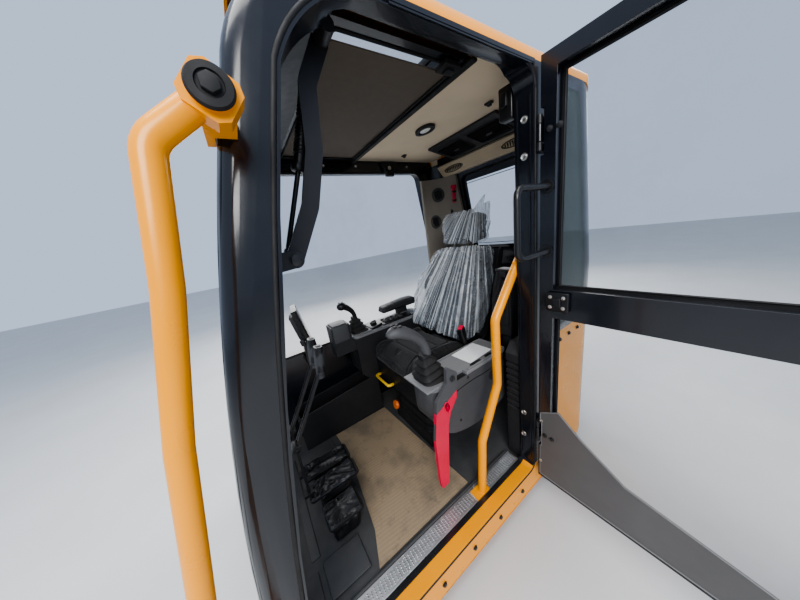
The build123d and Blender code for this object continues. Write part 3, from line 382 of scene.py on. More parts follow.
def finish(name, base, vary, patch, rough, streak, grain, grain_size, pebble=False, metal=0.0,
           coat=0.0, sheen=0.0, dust=0.0, stretch=None):
    """A finish with varied colour, varied gloss, a fine grain and a little dust.

    vary is the share that the colour varies by, patch the patches per metre, rough the least and
    the most roughness, streak the streaks of gloss per metre, and grain_size is in millimetres.
    """
    mat, tree, shader = graph(name)
    place = put(tree, "ShaderNodeTexCoord").outputs["Object"]
    if stretch:
        place = put(tree, "ShaderNodeMapping", Vector=place, Scale=stretch).outputs[0]
    dark = [c * (1 - vary) for c in base] + [1]
    light = [min(1, c * (1 + vary)) for c in base] + [1]
    colour = blend_of(tree, spread(tree, speckle(tree, place, patch), 0.3, 0.7, 0, 1), dark, light)
    gloss = spread(tree, speckle(tree, place, streak, 5, 0.6), 0.3, 0.7, rough[0], rough[1])
    if dust:
        normal = put(tree, "ShaderNodeNewGeometry").outputs["Normal"]
        up_face = put(tree, "ShaderNodeSeparateXYZ", Vector=normal)
        lies = spread(tree, up_face.outputs[2], 0.2, 0.95, 0, dust)
        cloud = spread(tree, speckle(tree, place, 5.0, 6, 0.65), 0.35, 0.7, 0.15, 1)
        amount = sum_of(tree, "MULTIPLY", lies, cloud)
        colour = blend_of(tree, amount, colour, [*DUST, 1])
        gloss = sum_of(tree, "MULTIPLY_ADD", amount, 0.5, gloss)
    tree.links.new(colour, shader.inputs["Base Color"])
    tree.links.new(gloss, shader.inputs["Roughness"])
    if pebble:
        cells = put(tree, "ShaderNodeTexVoronoi", {"feature": "DISTANCE_TO_EDGE"}, Vector=place,
                    Scale=1000 / grain_size).outputs[0]
        height = spread(tree, cells, 0, 0.35, 0, 1)
    else:
        height = speckle(tree, place, 1000 / grain_size, 2)
    bumped(tree, shader, height, grain, grain_size * 0.0003)
    shader.inputs["Metallic"].default_value = metal
    shader.inputs["Coat Weight"].default_value = coat
    shader.inputs["Coat Roughness"].default_value = 0.08
    if sheen:
        shader.inputs["Sheen Weight"].default_value = sheen
        shader.inputs["Sheen Roughness"].default_value = 0.5
    print("finish", name)
    return mat


# %% [markdown]
# The shell is sprayed: gloss black on the frame, deep yellow on the panels and rails. Sprayed paint
# is never a mirror, it has a faint peel of a few millimetres, so both get a low soft bump under a
# clear coat. Fine dust has settled where faces look up.

# %% Paints and metals
frame_black = finish("frame_black", (0.0065, 0.0078, 0.0115), 0.25, 5, (0.18, 0.27), 14, 0.012, 5.0,
                     coat=0.25, dust=0.04)
panel_yellow = finish("panel_yellow", (0.84, 0.315, 0.001), 0.05, 3, (0.26, 0.36), 12, 0.012, 5.0,
                      coat=0.1, dust=0.03)
satin_steel = finish("satin_steel", (0.012, 0.012, 0.014), 0.2, 12, (0.34, 0.48), 40, 0.10, 1.2,
                     dust=0.05)
zinc = finish("zinc", (0.62, 0.61, 0.57), 0.12, 40, (0.22, 0.38), 90, 0.06, 0.6, metal=1.0)
black_zinc = finish("black_zinc", (0.05, 0.05, 0.052), 0.2, 40, (0.28, 0.42), 80, 0.08, 0.6, metal=0.6)
under_black = finish("under_black", (0.016, 0.016, 0.017), 0.3, 6, (0.5, 0.7), 20, 0.2, 1.5,
                     dust=0.15)
tread_metal = finish("tread_metal", (0.60, 0.60, 0.61), 0.14, 25, (0.24, 0.44), 60, 0.18, 0.7,
                     metal=0.9, dust=0.12, stretch=(6, 0.6, 1))

# %% [markdown]
# Inside, four plastics meet: a dark grained one for the seat's shell and the boxes, a mid grey one
# for the left console, a paler one for the consoles' tops, and the door trim's own grey. Moulded
# grain is a pattern of tiny pebbles, so its bump comes from the distance to the edges of small
# cells.

# %% Plastics, rubber and felt
dark_grain = finish("dark_grain", (0.0180, 0.0182, 0.0200), 0.15, 10, (0.48, 0.62), 30, 0.35, 1.1,
                    pebble=True, dust=0.05)
mid_grain = finish("mid_grain", (0.068, 0.069, 0.073), 0.08, 8, (0.42, 0.55), 24, 0.30, 1.1,
                   pebble=True, dust=0.05)
pale_grain = finish("pale_grain", (0.175, 0.177, 0.182), 0.06, 8, (0.42, 0.55), 24, 0.28, 1.1,
                    pebble=True, dust=0.08)
door_grain = finish("door_grain", (0.088, 0.086, 0.086), 0.06, 8, (0.40, 0.52), 24, 0.28, 1.1,
                    pebble=True, dust=0.05)
smooth_black = finish("smooth_black", (0.009, 0.009, 0.010), 0.2, 20, (0.26, 0.40), 50, 0.04, 1.0)
bag_black = finish("bag_black", (0.010, 0.010, 0.011), 0.2, 20, (0.26, 0.42), 50, 0.04, 1.0)
rubber = finish("rubber", (0.0075, 0.0075, 0.0082), 0.2, 14, (0.58, 0.78), 30, 0.25, 0.9, dust=0.04)
mat_rubber = finish("mat_rubber", (0.040, 0.043, 0.048), 0.22, 7, (0.50, 0.70), 16, 0.35, 1.6,
                    pebble=True, dust=0.10)
felt = finish("felt", (0.62, 0.505, 0.350), 0.06, 6, (0.85, 0.95), 40, 0.5, 1.0, sheen=0.25)
pillar_shade = finish("pillar_shade", (0.250, 0.222, 0.185), 0.07, 6, (0.50, 0.62), 24, 0.28, 1.1,
                      pebble=True)
blind_cloth = finish("blind_cloth", (0.076, 0.055, 0.035), 0.08, 4, (0.7, 0.8), 40, 0.4, 0.9,
                     sheen=0.15)
signal_red = finish("signal_red", (0.62, 0.010, 0.052), 0.06, 14, (0.34, 0.46), 40, 0.10, 1.0)
orange_knob = finish("orange_knob", (0.72, 0.16, 0.015), 0.06, 14, (0.30, 0.42), 40, 0.10, 1.0)
yellow_grip = finish("yellow_grip", (0.80, 0.50, 0.03), 0.06, 14, (0.34, 0.46), 40, 0.10, 1.0)
lamp_white = finish("lamp_white", (0.80, 0.79, 0.75), 0.04, 60, (0.12, 0.22), 60, 0.5, 3.0,
                    pebble=True)
paper = finish("paper", (0.78, 0.79, 0.78), 0.03, 30, (0.7, 0.8), 40, 0.1, 0.6)

# %% [markdown]
# Window glass has to show what is behind it and still shine at a low angle. A clear pane is mostly
# see-through when looked at square and closes toward its grazing angle, which is what the facing
# factor of Layer Weight gives. It drives the shader's alpha, so the pane's own tint stays faint.
# The quarter window is tinted more, and the monitor's screen is opaque bronze.

# %% Glass and other clear things
def clear(name, tint, least):
    """A clear finish: see-through when seen square, where its alpha is least."""
    mat, tree, shader = graph(name)
    place = put(tree, "ShaderNodeTexCoord").outputs["Object"]
    rim = put(tree, "ShaderNodeLayerWeight", Blend=0.22).outputs["Facing"]
    smear = spread(tree, speckle(tree, place, 3.0, 6, 0.7), 0.45, 0.8, 0, 0.05)
    base = spread(tree, rim, 0.25, 1.0, least, 0.85)
    alpha = sum_of(tree, "ADD", base, smear, clamped=True)
    tree.links.new(alpha, shader.inputs["Alpha"])
    colour = blend_of(tree, speckle(tree, place, 2.0), [c * 0.9 for c in tint] + [1], [*tint, 1])
    tree.links.new(colour, shader.inputs["Base Color"])
    gloss = spread(tree, speckle(tree, place, 12.0, 5), 0.3, 0.7, 0.03, 0.066)
    tree.links.new(gloss, shader.inputs["Roughness"])
    mat.surface_render_method = "BLENDED"
    return mat


pane_glass = clear("pane_glass", (0.020, 0.030, 0.030), 0.10)
quarter_glass = clear("quarter_glass", (0.085, 0.110, 0.108), 0.50)
roof_glass = clear("roof_glass", (0.55, 0.60, 0.60), 0.18)
screen_bronze = finish("screen_bronze", (0.150, 0.078, 0.040), 0.2, 6, (0.10, 0.18), 20, 0.02, 2.0,
                       coat=0.5)

# %% [markdown]
# Woven seat cloth is drawn by two crossing waves, each a thread wide. The film over the new seat is
# a thin clear sheet whose creases are painted whiter and more opaque, a painted highlight. They run
# down and outward from the neck, so their pattern is noise over the angle round a point above the
# headrest. Corrugated card shows its hidden flutes as faint lines, and it has been walked on, so
# stains and scuffs darken it in patches.

# %% Cloth, film and card
def woven(name, base, thread):
    """Cloth woven from two crossing sets of threads, each as many millimetres wide."""
    mat, tree, shader = graph(name)
    place = put(tree, "ShaderNodeTexCoord").outputs["Object"]
    heights = []
    for turn in ((0, 0, 0.785), (0.785, 0.4, -0.785)):
        laid = put(tree, "ShaderNodeMapping", Vector=place, Rotation=turn).outputs[0]
        wave = put(tree, "ShaderNodeTexWave", Vector=laid, Scale=1000 / thread / 6.283, Distortion=0.6,
                   Detail=1.0).outputs[1]
        heights.append(wave)
    weave = sum_of(tree, "MULTIPLY", heights[0], heights[1])
    cloud = spread(tree, speckle(tree, place, 14, 5), 0.3, 0.7, 0.75, 1.2)
    low = [c * 0.45 for c in base] + [1]
    high = [c * 1.5 for c in base] + [1]
    colour = blend_of(tree, weave, low, high)
    tone = put(tree, "ShaderNodeVectorMath", {"operation": "SCALE"}, _0=colour)
    tree.links.new(cloud, tone.inputs["Scale"])
    tree.links.new(tone.outputs[0], shader.inputs["Base Color"])
    rough = spread(tree, weave, 0, 1, 0.9, 0.7)
    tree.links.new(rough, shader.inputs["Roughness"])
    bumped(tree, shader, weave, 0.5, 0.0006)
    shader.inputs["Sheen Weight"].default_value = 0.12
    return mat


seat_cloth = woven("seat_cloth", (0.011, 0.011, 0.012), 0.9)
belt_web = woven("belt_web", (0.016, 0.016, 0.018), 1.8)


FAN_TOP = 1290  # height that the creases spread from, in mm
FAN_X = 0.08  # metres to the left of the cab's middle
FAN_TURN = 0.8  # metres that a crease shifts for each metre of depth
SEAT_LEAN = 0.36  # metres that the seat's back goes rearward for each metre up


def film_finish(name):
    """Thin clear film whose creases fan down from the neck of the seat and are painted white as a highlight.
    """
    mat, tree, shader = graph(name)
    place = put(tree, "ShaderNodeTexCoord").outputs["Object"]
    x, y, z = put(tree, "ShaderNodeSeparateXYZ", Vector=place).outputs
    drop = sum_of(tree, "SUBTRACT", at(0, 0, FAN_TOP).z, z)
    depth = sum_of(tree, "MULTIPLY_ADD", z, -SEAT_LEAN, y)
    shift = FAN_TURN * (0.20 - SEAT_LEAN * at(0, 0, 520).z) + FAN_X
    turned = sum_of(tree, "MULTIPLY_ADD", depth, FAN_TURN, x)
    across = sum_of(tree, "SUBTRACT", turned, shift)
    angle = sum_of(tree, "DIVIDE", across, drop)
    tall = sum_of(tree, "MULTIPLY", z, 0.016)
    deep = sum_of(tree, "MULTIPLY", y, 0.015)
    fan = put(tree, "ShaderNodeCombineXYZ", X=angle, Y=deep, Z=tall).outputs[0]
    lines = []
    for scale, wide, strength in ((14, 0.045, 0.85), (40, 0.050, 0.75), (100, 0.080, 0.50)):
        wave = put(tree, "ShaderNodeTexNoise", Vector=fan, Scale=float(scale), Detail=1.0,
                   Distortion=0.35).outputs[0]
        off = sum_of(tree, "SUBTRACT", wave, 0.5)
        near = put(tree, "ShaderNodeMath", {"operation": "ABSOLUTE"}, _0=off).outputs[0]
        lines.append(spread(tree, near, 0.0, wide, strength, 0))
    both = sum_of(tree, "MAXIMUM", lines[0], lines[1])
    # Painted highlight: this crease mask makes the film paler and more opaque along its creases.
    crease_highlight = sum_of(tree, "MULTIPLY_ADD", lines[2], 0.45, both, clamped=True)
    rim = put(tree, "ShaderNodeLayerWeight", Blend=0.28).outputs["Facing"]
    edge = spread(tree, rim, 0.2, 0.95, 0.20, 0.58)
    alpha = sum_of(tree, "MULTIPLY_ADD", crease_highlight, 0.62, edge, clamped=True)
    tree.links.new(alpha, shader.inputs["Alpha"])
    # Painted highlight: grey-blue between the creases, near white on them.
    colour = blend_of(tree, crease_highlight, [0.33, 0.37, 0.42, 1], [0.72, 0.76, 0.80, 1])
    tree.links.new(colour, shader.inputs["Base Color"])
    gloss = spread(tree, speckle(tree, place, 40, 4), 0.3, 0.7, 0.08, 0.24)
    tree.links.new(gloss, shader.inputs["Roughness"])
    bumped(tree, shader, crease_highlight, 0.5, 0.003)
    mat.surface_render_method = "BLENDED"
    return mat


seat_film = film_finish("seat_film")


def card_finish(name):
    """Corrugated card: flutes, fibres, boot scuffs and damp stains."""
    mat, tree, shader = graph(name)
    place = put(tree, "ShaderNodeTexCoord").outputs["Object"]
    laid = put(tree, "ShaderNodeMapping", Vector=place, Rotation=(0, 0, 0.09)).outputs[0]
    flutes = put(tree, "ShaderNodeTexWave", {"bands_direction": "X"}, Vector=laid, Scale=24.0,
                 Distortion=0.7, Detail=2.0).outputs[1]
    fibre = put(tree, "ShaderNodeMapping", Vector=place, Scale=(120, 900, 400)).outputs[0]
    hair = speckle(tree, fibre, 1.0, 4)
    stain = spread(tree, speckle(tree, place, 5.5, 7, 0.62), 0.50, 0.66, 0, 0.62)
    scuff = spread(tree, speckle(tree, place, 24.0, 6, 0.75), 0.56, 0.72, 0, 0.45)
    plain = blend_of(tree, hair, [0.235, 0.172, 0.108, 1], [0.350, 0.272, 0.180, 1])
    lined = blend_of(tree, spread(tree, flutes, 0, 1, 0, 0.20), plain, [0.165, 0.122, 0.078, 1])
    worn = blend_of(tree, stain, lined, [0.115, 0.095, 0.074, 1])
    colour = blend_of(tree, scuff, worn, [0.075, 0.065, 0.056, 1])
    tree.links.new(colour, shader.inputs["Base Color"])
    tree.links.new(spread(tree, stain, 0, 0.62, 0.88, 0.62), shader.inputs["Roughness"])
    bumped(tree, shader, flutes, 0.18, 0.0012)
    return mat


card = card_finish("card")
print("finishes:", len(bpy.data.materials))

# %% [markdown]
# Pressed and moulded parts never have knife edges, and it is the light caught by a small rounded
# edge that makes them look real. The CAD solids have sharp edges to keep them light. Here each rigid
# node is copied, its loose triangles are merged back into faces, and a bevel rounds its edges by
# one or two millimetres. The copy stands for the node and takes its finish. The left frame is black
# down to its sill, which is body yellow, so a cut across the copy parts the two paints.

# %% Rigid parts with rounded edges
RIGID = (  # node, finish, edge in mm
    ("side_frame_left", (frame_black, panel_yellow), 2.5), ("side_frame_right", frame_black, 2.5),
    ("front_frame", satin_steel, 2.0), ("rear_frame", frame_black, 2.0),
    ("hatch_curb", frame_black, 1.5), ("door_frame", frame_black, 3.0),
    ("lift_arm", satin_steel, 1.2), ("seat_pan", satin_steel, 2.0),
    ("hinge_plates", satin_steel, 1.0), ("base_frame", under_black, 3.0),
    ("side_panel_left", panel_yellow, 1.5), ("side_panel_right", panel_yellow, 1.5),
    ("hatch_rim", smooth_black, 2.0), ("hatch_blind", blind_cloth, 0.5),
    ("vent_panel", dark_grain, 2.0), ("storage_trough", dark_grain, 2.0),
    ("rear_box", dark_grain, 5.0), ("side_cover_left", dark_grain, 2.0),
    ("seat_shell", dark_grain, 4.0), ("console_left", mid_grain, 4.0),
    ("console_right", dark_grain, 4.0), ("console_covers", pale_grain, 3.0),
    ("door_trim", door_grain, 0.9), ("safety_lever", (mid_grain, signal_red), 2.5),
    ("headliner", felt, 2.0), ("rear_header", felt, 3.0), ("interior_light", dark_grain, 1.5),
    ("door_latch", smooth_black, 2.0), ("monitor", smooth_black, 2.0), ("pedals", rubber, 2.5),
    ("travel_levers", satin_steel, 1.5), ("floor_mat", mat_rubber, 1.0),
    ("tread_plate", tread_metal, 1.0), ("glass_hammer", signal_red, 1.0), ("seat_base", rubber, 2.0),
)
CAD_WELD = 2e-6  # metres; the solids' meshes are loose triangles, merged within this
SILL = at(458, 0, 22)  # black above and inside this corner, yellow below and outside it


def cut_through(bm, place, direction):
    """Cuts all faces of a bmesh along a plane and keeps both sides."""
    everything = bm.verts[:] + bm.edges[:] + bm.faces[:]
    bmesh.ops.bisect_plane(bm, geom=everything, plane_co=place, plane_no=direction)


for node, look, edge in RIGID:
    source = nodes[node]
    bm = bmesh.new()
    bm.from_mesh(source.data)
    bmesh.ops.remove_doubles(bm, verts=bm.verts, dist=CAD_WELD)
    bmesh.ops.dissolve_limit(bm, angle_limit=math.radians(1.5), verts=bm.verts, edges=bm.edges)
    for layer in list(bm.loops.layers.uv):
        bm.loops.layers.uv.remove(layer)
    if node == "side_frame_left":
        for way in ((0, 0, 1), (1, 0, 0)):
            cut_through(bm, SILL, way)
        for face in bm.faces:
            middle = face.calc_center_median()
            face.material_index = int(middle.z < SILL.z and middle.x > SILL.x)
    piece(node + ".dressed", bm, look, source["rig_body"], sharp=32, bevel=edge,
          stands_for=(node,))

# %% [markdown]
# Round bars, rods and pressed skins are already smooth in the CAD, so they only take a finish.

# %% Finishes of the CAD nodes that stay
KEPT = {
    smooth_black: ("gas_strut", "door_handle"), panel_yellow: ("roof_cap", "handrail", "grab_bar"),
    rubber: ("cab_mounts",), pillar_shade: ("pillar_trims",), satin_steel: ("headrest_posts",),
    quarter_glass: ("quarter_window",),
    pane_glass: ("right_window", "windscreen_lower", "windscreen_upper", "rear_window",
                 "door_glass_upper", "door_glass_lower"),
    roof_glass: ("hatch_pane",),
}
for look, names in KEPT.items():
    for name in names:
        mesh = nodes[name].data
        mesh.materials.clear()
        mesh.materials.append(look)
print("kept nodes:", sum(len(names) for names in KEPT.values()))

# %% [markdown]
# The seat is foam under cloth. A foam cushion is not a block: its cover is cut a little small, so the
# faces crown and the sides pull in between the corners. Blender's cloth can do just that. The
# shape is remeshed to even small quads, blown up a little with no gravity, and the result is kept.
# How far a point may move is capped, so the cushion stays in the space the CAD solid gives it.

# %% Helper: a cushion blown up by cloth
def mesh_of(bm, voxel):
    """Remeshes a bmesh to even quads and returns the mesh."""
    mesh = bpy.data.meshes.new("soft")
    bm.to_mesh(mesh)
    bm.free()
    obj = bpy.data.objects.new("soft", mesh)
    bpy.context.scene.collection.objects.link(obj)
    even = obj.modifiers.new("even", "REMESH")
    even.mode = "VOXEL"
    even.voxel_size = voxel
    bpy.context.view_layer.update()
    depsgraph = bpy.context.evaluated_depsgraph_get()
    result = bpy.data.meshes.new_from_object(obj.evaluated_get(depsgraph))
    bpy.data.objects.remove(obj)
    return result


def coords(mesh):
    """The vertices of a mesh as an array."""
    flat = np.zeros(len(mesh.vertices) * 3, np.float32)
    mesh.vertices.foreach_get("co", flat)
    return flat.reshape(-1, 3).astype(float)


def normals(mesh):
    """The vertex normals of a mesh as an array."""
    return np.array([v.normal for v in mesh.vertices], float)


def lay(mesh, places):
    """Writes vertex places back to a mesh."""
    mesh.vertices.foreach_set("co", np.asarray(places, np.float32).ravel())
    mesh.update()


def blow(mesh, pressure, cap, held, frames=18, grow=0.0, bend=2.0, solid=None):
    """Cloth under pressure, or cut too large, with no gravity and a cap in metres on each move."""
    scene = bpy.context.scene
    obj = bpy.data.objects.new("cloth", mesh)
    scene.collection.objects.link(obj)
    start = coords(mesh)
    cloth = obj.modifiers.new("cloth", "CLOTH")
    sim = cloth.settings
    sim.quality = 5
    sim.mass = 0.3
    sim.tension_stiffness = sim.compression_stiffness = 12
    sim.shear_stiffness = 6
    sim.bending_stiffness = bend
    sim.shrink_min = -grow
    sim.use_pressure = pressure > 0
    sim.uniform_pressure_force = pressure
    sim.effector_weights.gravity = 0
    group = obj.vertex_groups.new(name="held")
    group.add([int(i) for i in np.nonzero(held)[0]], 1.0, "REPLACE")
    sim.vertex_group_mass = "held"
    if solid:
        solid.modifiers.new("solid", "COLLISION")
        solid.collision.thickness_outer = 0.002
        cloth.collision_settings.distance_min = 0.002
    cloth.point_cache.frame_start = 1
    cloth.point_cache.frame_end = frames
    for frame_number in range(1, frames + 1):
        scene.frame_set(frame_number)
    moved = obj.evaluated_get(bpy.context.evaluated_depsgraph_get()).to_mesh()
    shift = coords(moved) - start
    size = np.linalg.norm(shift, axis=1, keepdims=True)
    shift *= np.minimum(1, cap / np.maximum(size, 1e-9))
    lay(mesh, start + shift)
    if solid:
        solid.modifiers.clear()
    bpy.data.objects.remove(obj)
    scene.frame_set(1)
    print("cloth moved points by up to", round(float(size.max()) * 1000, 1), "mm, kept to", cap * 1000)


def subdivided(mesh):
    """A finer copy of a mesh as a bmesh, smoothed once."""
    bm = bmesh.new()
    bm.from_mesh(mesh)
    bmesh.ops.subdivide_edges(bm, edges=bm.edges, cuts=1, use_grid_fill=True, smooth=0.6)
    return bm


def seam_pull(bm, lines, depth, width):
    """Pulls the surface in along seams; each line gives a point's distance to it in metres."""
    bm.normal_update()
    moves = []
    for v in bm.verts:
        share = max(math.exp(-(line(v.co) * 1000 / width) ** 2) for line in lines)
        moves.append((v, v.normal * (depth / 1000 * share)))
    for v, move in moves:
        v.co -= move


def ramp(value, start, length):
    """Rises from 0 to 1 over a length, and stays there."""
    return max(0.0, min(1.0, (value - start) / length))


FAR = 1  # metres, a distance at which a seam pulls nothing

# %% [markdown]
# The seat cushion has a flat middle with two cross seams and a raised bolster on each side. The
# solid's outline is drawn a little smaller first, because the cloth will swell it back.

# %% Seat cushion
SEAT_X = -30  # the seat's middle plane
HALF_CUSHION = 190
BOLSTER = 120  # where the cushion's side bolsters begin, from the middle
PIPING = at(0, 0, 440).z  # the seam round the cushion


def prism(outline, x0, x1):
    """A closed block from an outline in (y, height), between two x."""
    bm = bmesh.new()
    face = bm.faces.new([bm.verts.new(at(x0, y, h)) for y, h in outline])
    more = bmesh.ops.extrude_face_region(bm, geom=[face])["geom"]
    across = [v for v in more if isinstance(v, bmesh.types.BMVert)]
    bmesh.ops.translate(bm, vec=((x1 - x0) / 1000, 0, 0), verts=across)
    bmesh.ops.recalc_face_normals(bm, faces=bm.faces)
    return bm


def from_middle(p):
    """Distance of a point in metres from the seat's middle plane, in millimetres."""
    return abs(p.x * 1000 - SEAT_X)


def cross_seam(y):
    """A seam across the flat middle of the cushion's top."""
    return lambda p: abs(p.y - y) if from_middle(p) < BOLSTER and p.z > PIPING else FAR


bm = prism([(-142, 402), (222, 402), (190, 478), (-60, 486), (-118, 480), (-140, 462)],
           SEAT_X - HALF_CUSHION, SEAT_X + HALF_CUSHION)
rounded(bm, 22, 4)
cushion = mesh_of(bm, 0.0065)
blow(cushion, 4.0, 0.016, coords(cushion)[:, 2] < at(0, 0, 406).z)
bm = subdivided(cushion)
for v in bm.verts:
    side = from_middle(v.co)
    top = ramp(v.co.z, at(0, 0, 455).z, 0.03)
    v.co.z += 0.010 * top * ramp(side, 118, 40) - 0.004 * top * (side < 110)
seam_pull(bm, (lambda p: abs(from_middle(p) - BOLSTER) / 1000 if p.z > PIPING else FAR,
               cross_seam(0.075), cross_seam(-0.045), lambda p: abs(p.z - PIPING)), 5.0, 5.5)
seat_cushion = piece("seat_cushion.padded", bm, seat_cloth, "cab", sharp=None,
                     stands_for=("seat_cushion",))

# %% [markdown]
# The back and the headrest ride on the reclining shell. The back is widest at the shoulder, and its
# side wings stand proud of the middle. Both are made as the cushion was.

# %% Seat back and headrest
BACK_SEAM = 112  # from the middle to the seams beside the wings
BACK_LEAN = 0.36  # metres rearward for each metre up


def tapered(outline, widths):
    """A block from an outline in (y, height) whose half width follows its height."""
    bm = prism(outline, -100, 100)
    bmesh.ops.subdivide_edges(bm, edges=bm.edges[:], cuts=5, use_grid_fill=True)
    heights, halves = zip(*widths)
    for v in bm.verts:
        share = v.co.x / 0.1
        half = np.interp((v.co.z - FLOOR) * 1000, heights, halves)
        v.co.x = (SEAT_X + share * half) / 1000
    return bm


bm = tapered([(238, 520), (322, 500), (452, 880), (470, 918), (400, 922), (306, 762)],
             ((500, 172), (600, 180), (700, 222), (760, 226), (880, 180), (925, 150)))
back_mesh = mesh_of(bm, 0.0075)
spots = coords(back_mesh)
rear = spots[:, 1] > 0.352 + BACK_LEAN * (spots[:, 2] - at(0, 0, 560).z) - 0.010
blow(back_mesh, 4.0, 0.020, rear)
bm = subdivided(back_mesh)
bm.normal_update()
for v in bm.verts:
    if v.normal.y < -0.2:
        v.co.y -= 0.016 * ramp(from_middle(v.co), 110, 40)


def level_seam(h):
    """A seam across the back between its wings, at a height."""
    return lambda p: abs(p.z - at(0, 0, h).z) if from_middle(p) < BACK_SEAM else FAR


seam_pull(bm, (lambda p: abs(from_middle(p) - BACK_SEAM) / 1000, level_seam(640), level_seam(790)), 4.5, 5.5)
seat_back = piece("seat_back.padded", bm, seat_cloth, "seat_back", sharp=None,
                  stands_for=("seat_back",))

bm = tapered([(418, 962), (486, 966), (508, 1092), (456, 1110), (428, 1078)],
             ((950, 112), (1000, 128), (1080, 122), (1115, 100)))
head_mesh = mesh_of(bm, 0.006)
blow(head_mesh, 4.0, 0.014, coords(head_mesh)[:, 2] < at(0, 0, 968).z)
headrest = piece("headrest.padded", subdivided(head_mesh), seat_cloth, "seat_back",
                 sharp=None, stands_for=("headrest",))

# %% [markdown]
# A new machine leaves the works with clear film over its seat. The film is a loose bag, cut larger
# than the seat, so it has nowhere to go but into creases. That is how it is made here too: a skin
# is laid a few millimetres off the padded part and folded by ridged noise, and the cloth is told
# that it was cut a twentieth too large. It buckles by itself, and the padded part under it keeps it
# outside. Where the bag over the headrest is tied, two loose tails stand up.

# %% Film over the seat
def film_over(name, obj, off, voxel, grow, skirt, seed, tails=()):
    """A crumpled film around a padded piece, open along its lower edge, with tails at its top.

    off is how far it lies off the piece, voxel the size of its quads, skirt how far its lower edge
    stands forward, all in metres; grow is the share that it was cut too large.
    """
    bm = bmesh.new()
    bm.from_mesh(obj.data)
    hull = bmesh.ops.convex_hull(bm, input=bm.verts)
    loose = [v for v in hull["geom_interior"] + hull["geom_unused"] if isinstance(v, bmesh.types.BMVert)]
    bmesh.ops.delete(bm, geom=list({v for v in loose if v.is_valid}), context="VERTS")
    keep_faces = {f for f in hull["geom"] if isinstance(f, bmesh.types.BMFace) and f.is_valid}
    bmesh.ops.delete(bm, geom=[f for f in bm.faces if f not in keep_faces], context="FACES_ONLY")
    bmesh.ops.recalc_face_normals(bm, faces=bm.faces)
    bm.normal_update()
    for v in bm.verts:
        v.co += v.normal * off
    mesh = mesh_of(bm, voxel)
    spots = coords(mesh)
    low = spots[:, 2].min()
    span = spots[:, 2].max() - low
    share = np.clip(1 - (spots[:, 2] - low) / span, 0, 1)
    middle = spots[:, :2].mean(axis=0)
    ahead = np.clip((middle[1] - spots[:, 1]) / 0.08, 0, 1)
    spots[:, 1] -= skirt * ahead * share**0.8
    lay(mesh, spots)
    rise = normals(mesh)
    for i, spot in enumerate(spots):
        p = Vector(((spot[0] - 0.34 * spot[2]) * 30, spot[1] * 22, spot[2] * 3.6)) + Vector((seed, 0, 0))
        fold = 1 - abs(noise.noise(p)) * 3.2
        small = 1 - abs(noise.noise(p * 2.6)) * 2.8
        spots[i] += rise[i] * (0.011 * max(-0.7, fold) + 0.004 * max(-0.7, small))
    lay(mesh, spots)
    held = spots[:, 2] < low + 0.02
    blow(mesh, 0.0, 0.028, held, frames=16, grow=grow, bend=0.05, solid=obj)
    bm = subdivided(mesh)
    top = max(v.co.z for v in bm.verts)
    for foot, lean, wide in tails:
        for v in bm.verts:
            reach = math.hypot(v.co.x - foot.x, v.co.y - foot.y) if v.co.z > top - 0.06 else 1.0
            v.co += lean * math.exp(-(reach / wide) ** 2)
    bottom = [f for f in bm.faces if f.normal.z < -0.55 and f.calc_center_median().z < low + 0.06]
    bmesh.ops.delete(bm, geom=bottom, context="FACES")
    area = sum(f.calc_area() for f in bm.faces)
    film = piece(name, bm, seat_film, "seat_back", sharp=None)
    print(name, "area", round(area, 3), "m2")
    return film, area


TAILS = (  # foot, rise, width in metres
    (at(44, 474, 0), Vector((0.026, 0.006, 0.048)), 0.015),
    (at(80, 488, 0), Vector((0.030, 0.010, 0.032)), 0.017),
)
WIDTH_SHARE = 0.8  # of the flat bag's height
back_film, back_area = film_over("seat_film_back", seat_back, 0.008, 0.009, 0.05, 0.075, 3.0)
head_film, head_area = film_over("seat_film_head", headrest, 0.006, 0.008, 0.06, 0.0, 11.0, TAILS)
for film, area, rests in ((back_film, back_area, "seat_back.padded"),
                          (head_film, head_area, "headrest.padded")):
    wide = math.sqrt(area * WIDTH_SHARE)

# %% [markdown]
# The joysticks stand in square rubber bellows. A bellows is one thin skin with sharp folds, so it is
# spun from a zigzag profile and then squared: each point is pushed out toward the corners, the way a
# round tube becomes a rounded square one.

# %% Joystick bellows
LEFT_X, LEFT_Y, LEFT_TOP = 262, -134, 500  # the left stick on its console
RIGHT_X, RIGHT_Y, RIGHT_TOP = -304, -178, 560


def squared(bm):
    """Turns a round lathed shape into a rounded square one."""
    power = 4.5
    for v in bm.verts:
        r = math.hypot(v.co.x, v.co.y)
        if r > 1e-6:
            c, s = abs(v.co.x / r), abs(v.co.y / r)
            grow = 1 / (c**power + s**power) ** (1 / power)
            v.co.x *= grow
            v.co.y *= grow
    return bm


def bellows(low, top, height, folds):
    """Square bellows with thin lips, from a half width below to a half width at its top."""
    line = [(0, 0), (low, 0)]
    step = height / folds
    for i in range(folds):
        wide = low + (top - low) * i / folds
        neck = low + (top - low) * (i + 1) / folds - 7
        z = i * step
        line += [(wide, z + 0.5), (wide + 1, z + 3), (wide - 1, z + 5.5), (neck + 1, z + step * 0.62),
                 (neck - 1, z + step * 0.85), (neck + 1, z + step)]
    line += [(top - 7, height + 3), (top - 9, height + 9), (0, height + 9)]
    return squared(lathe(line, 40))


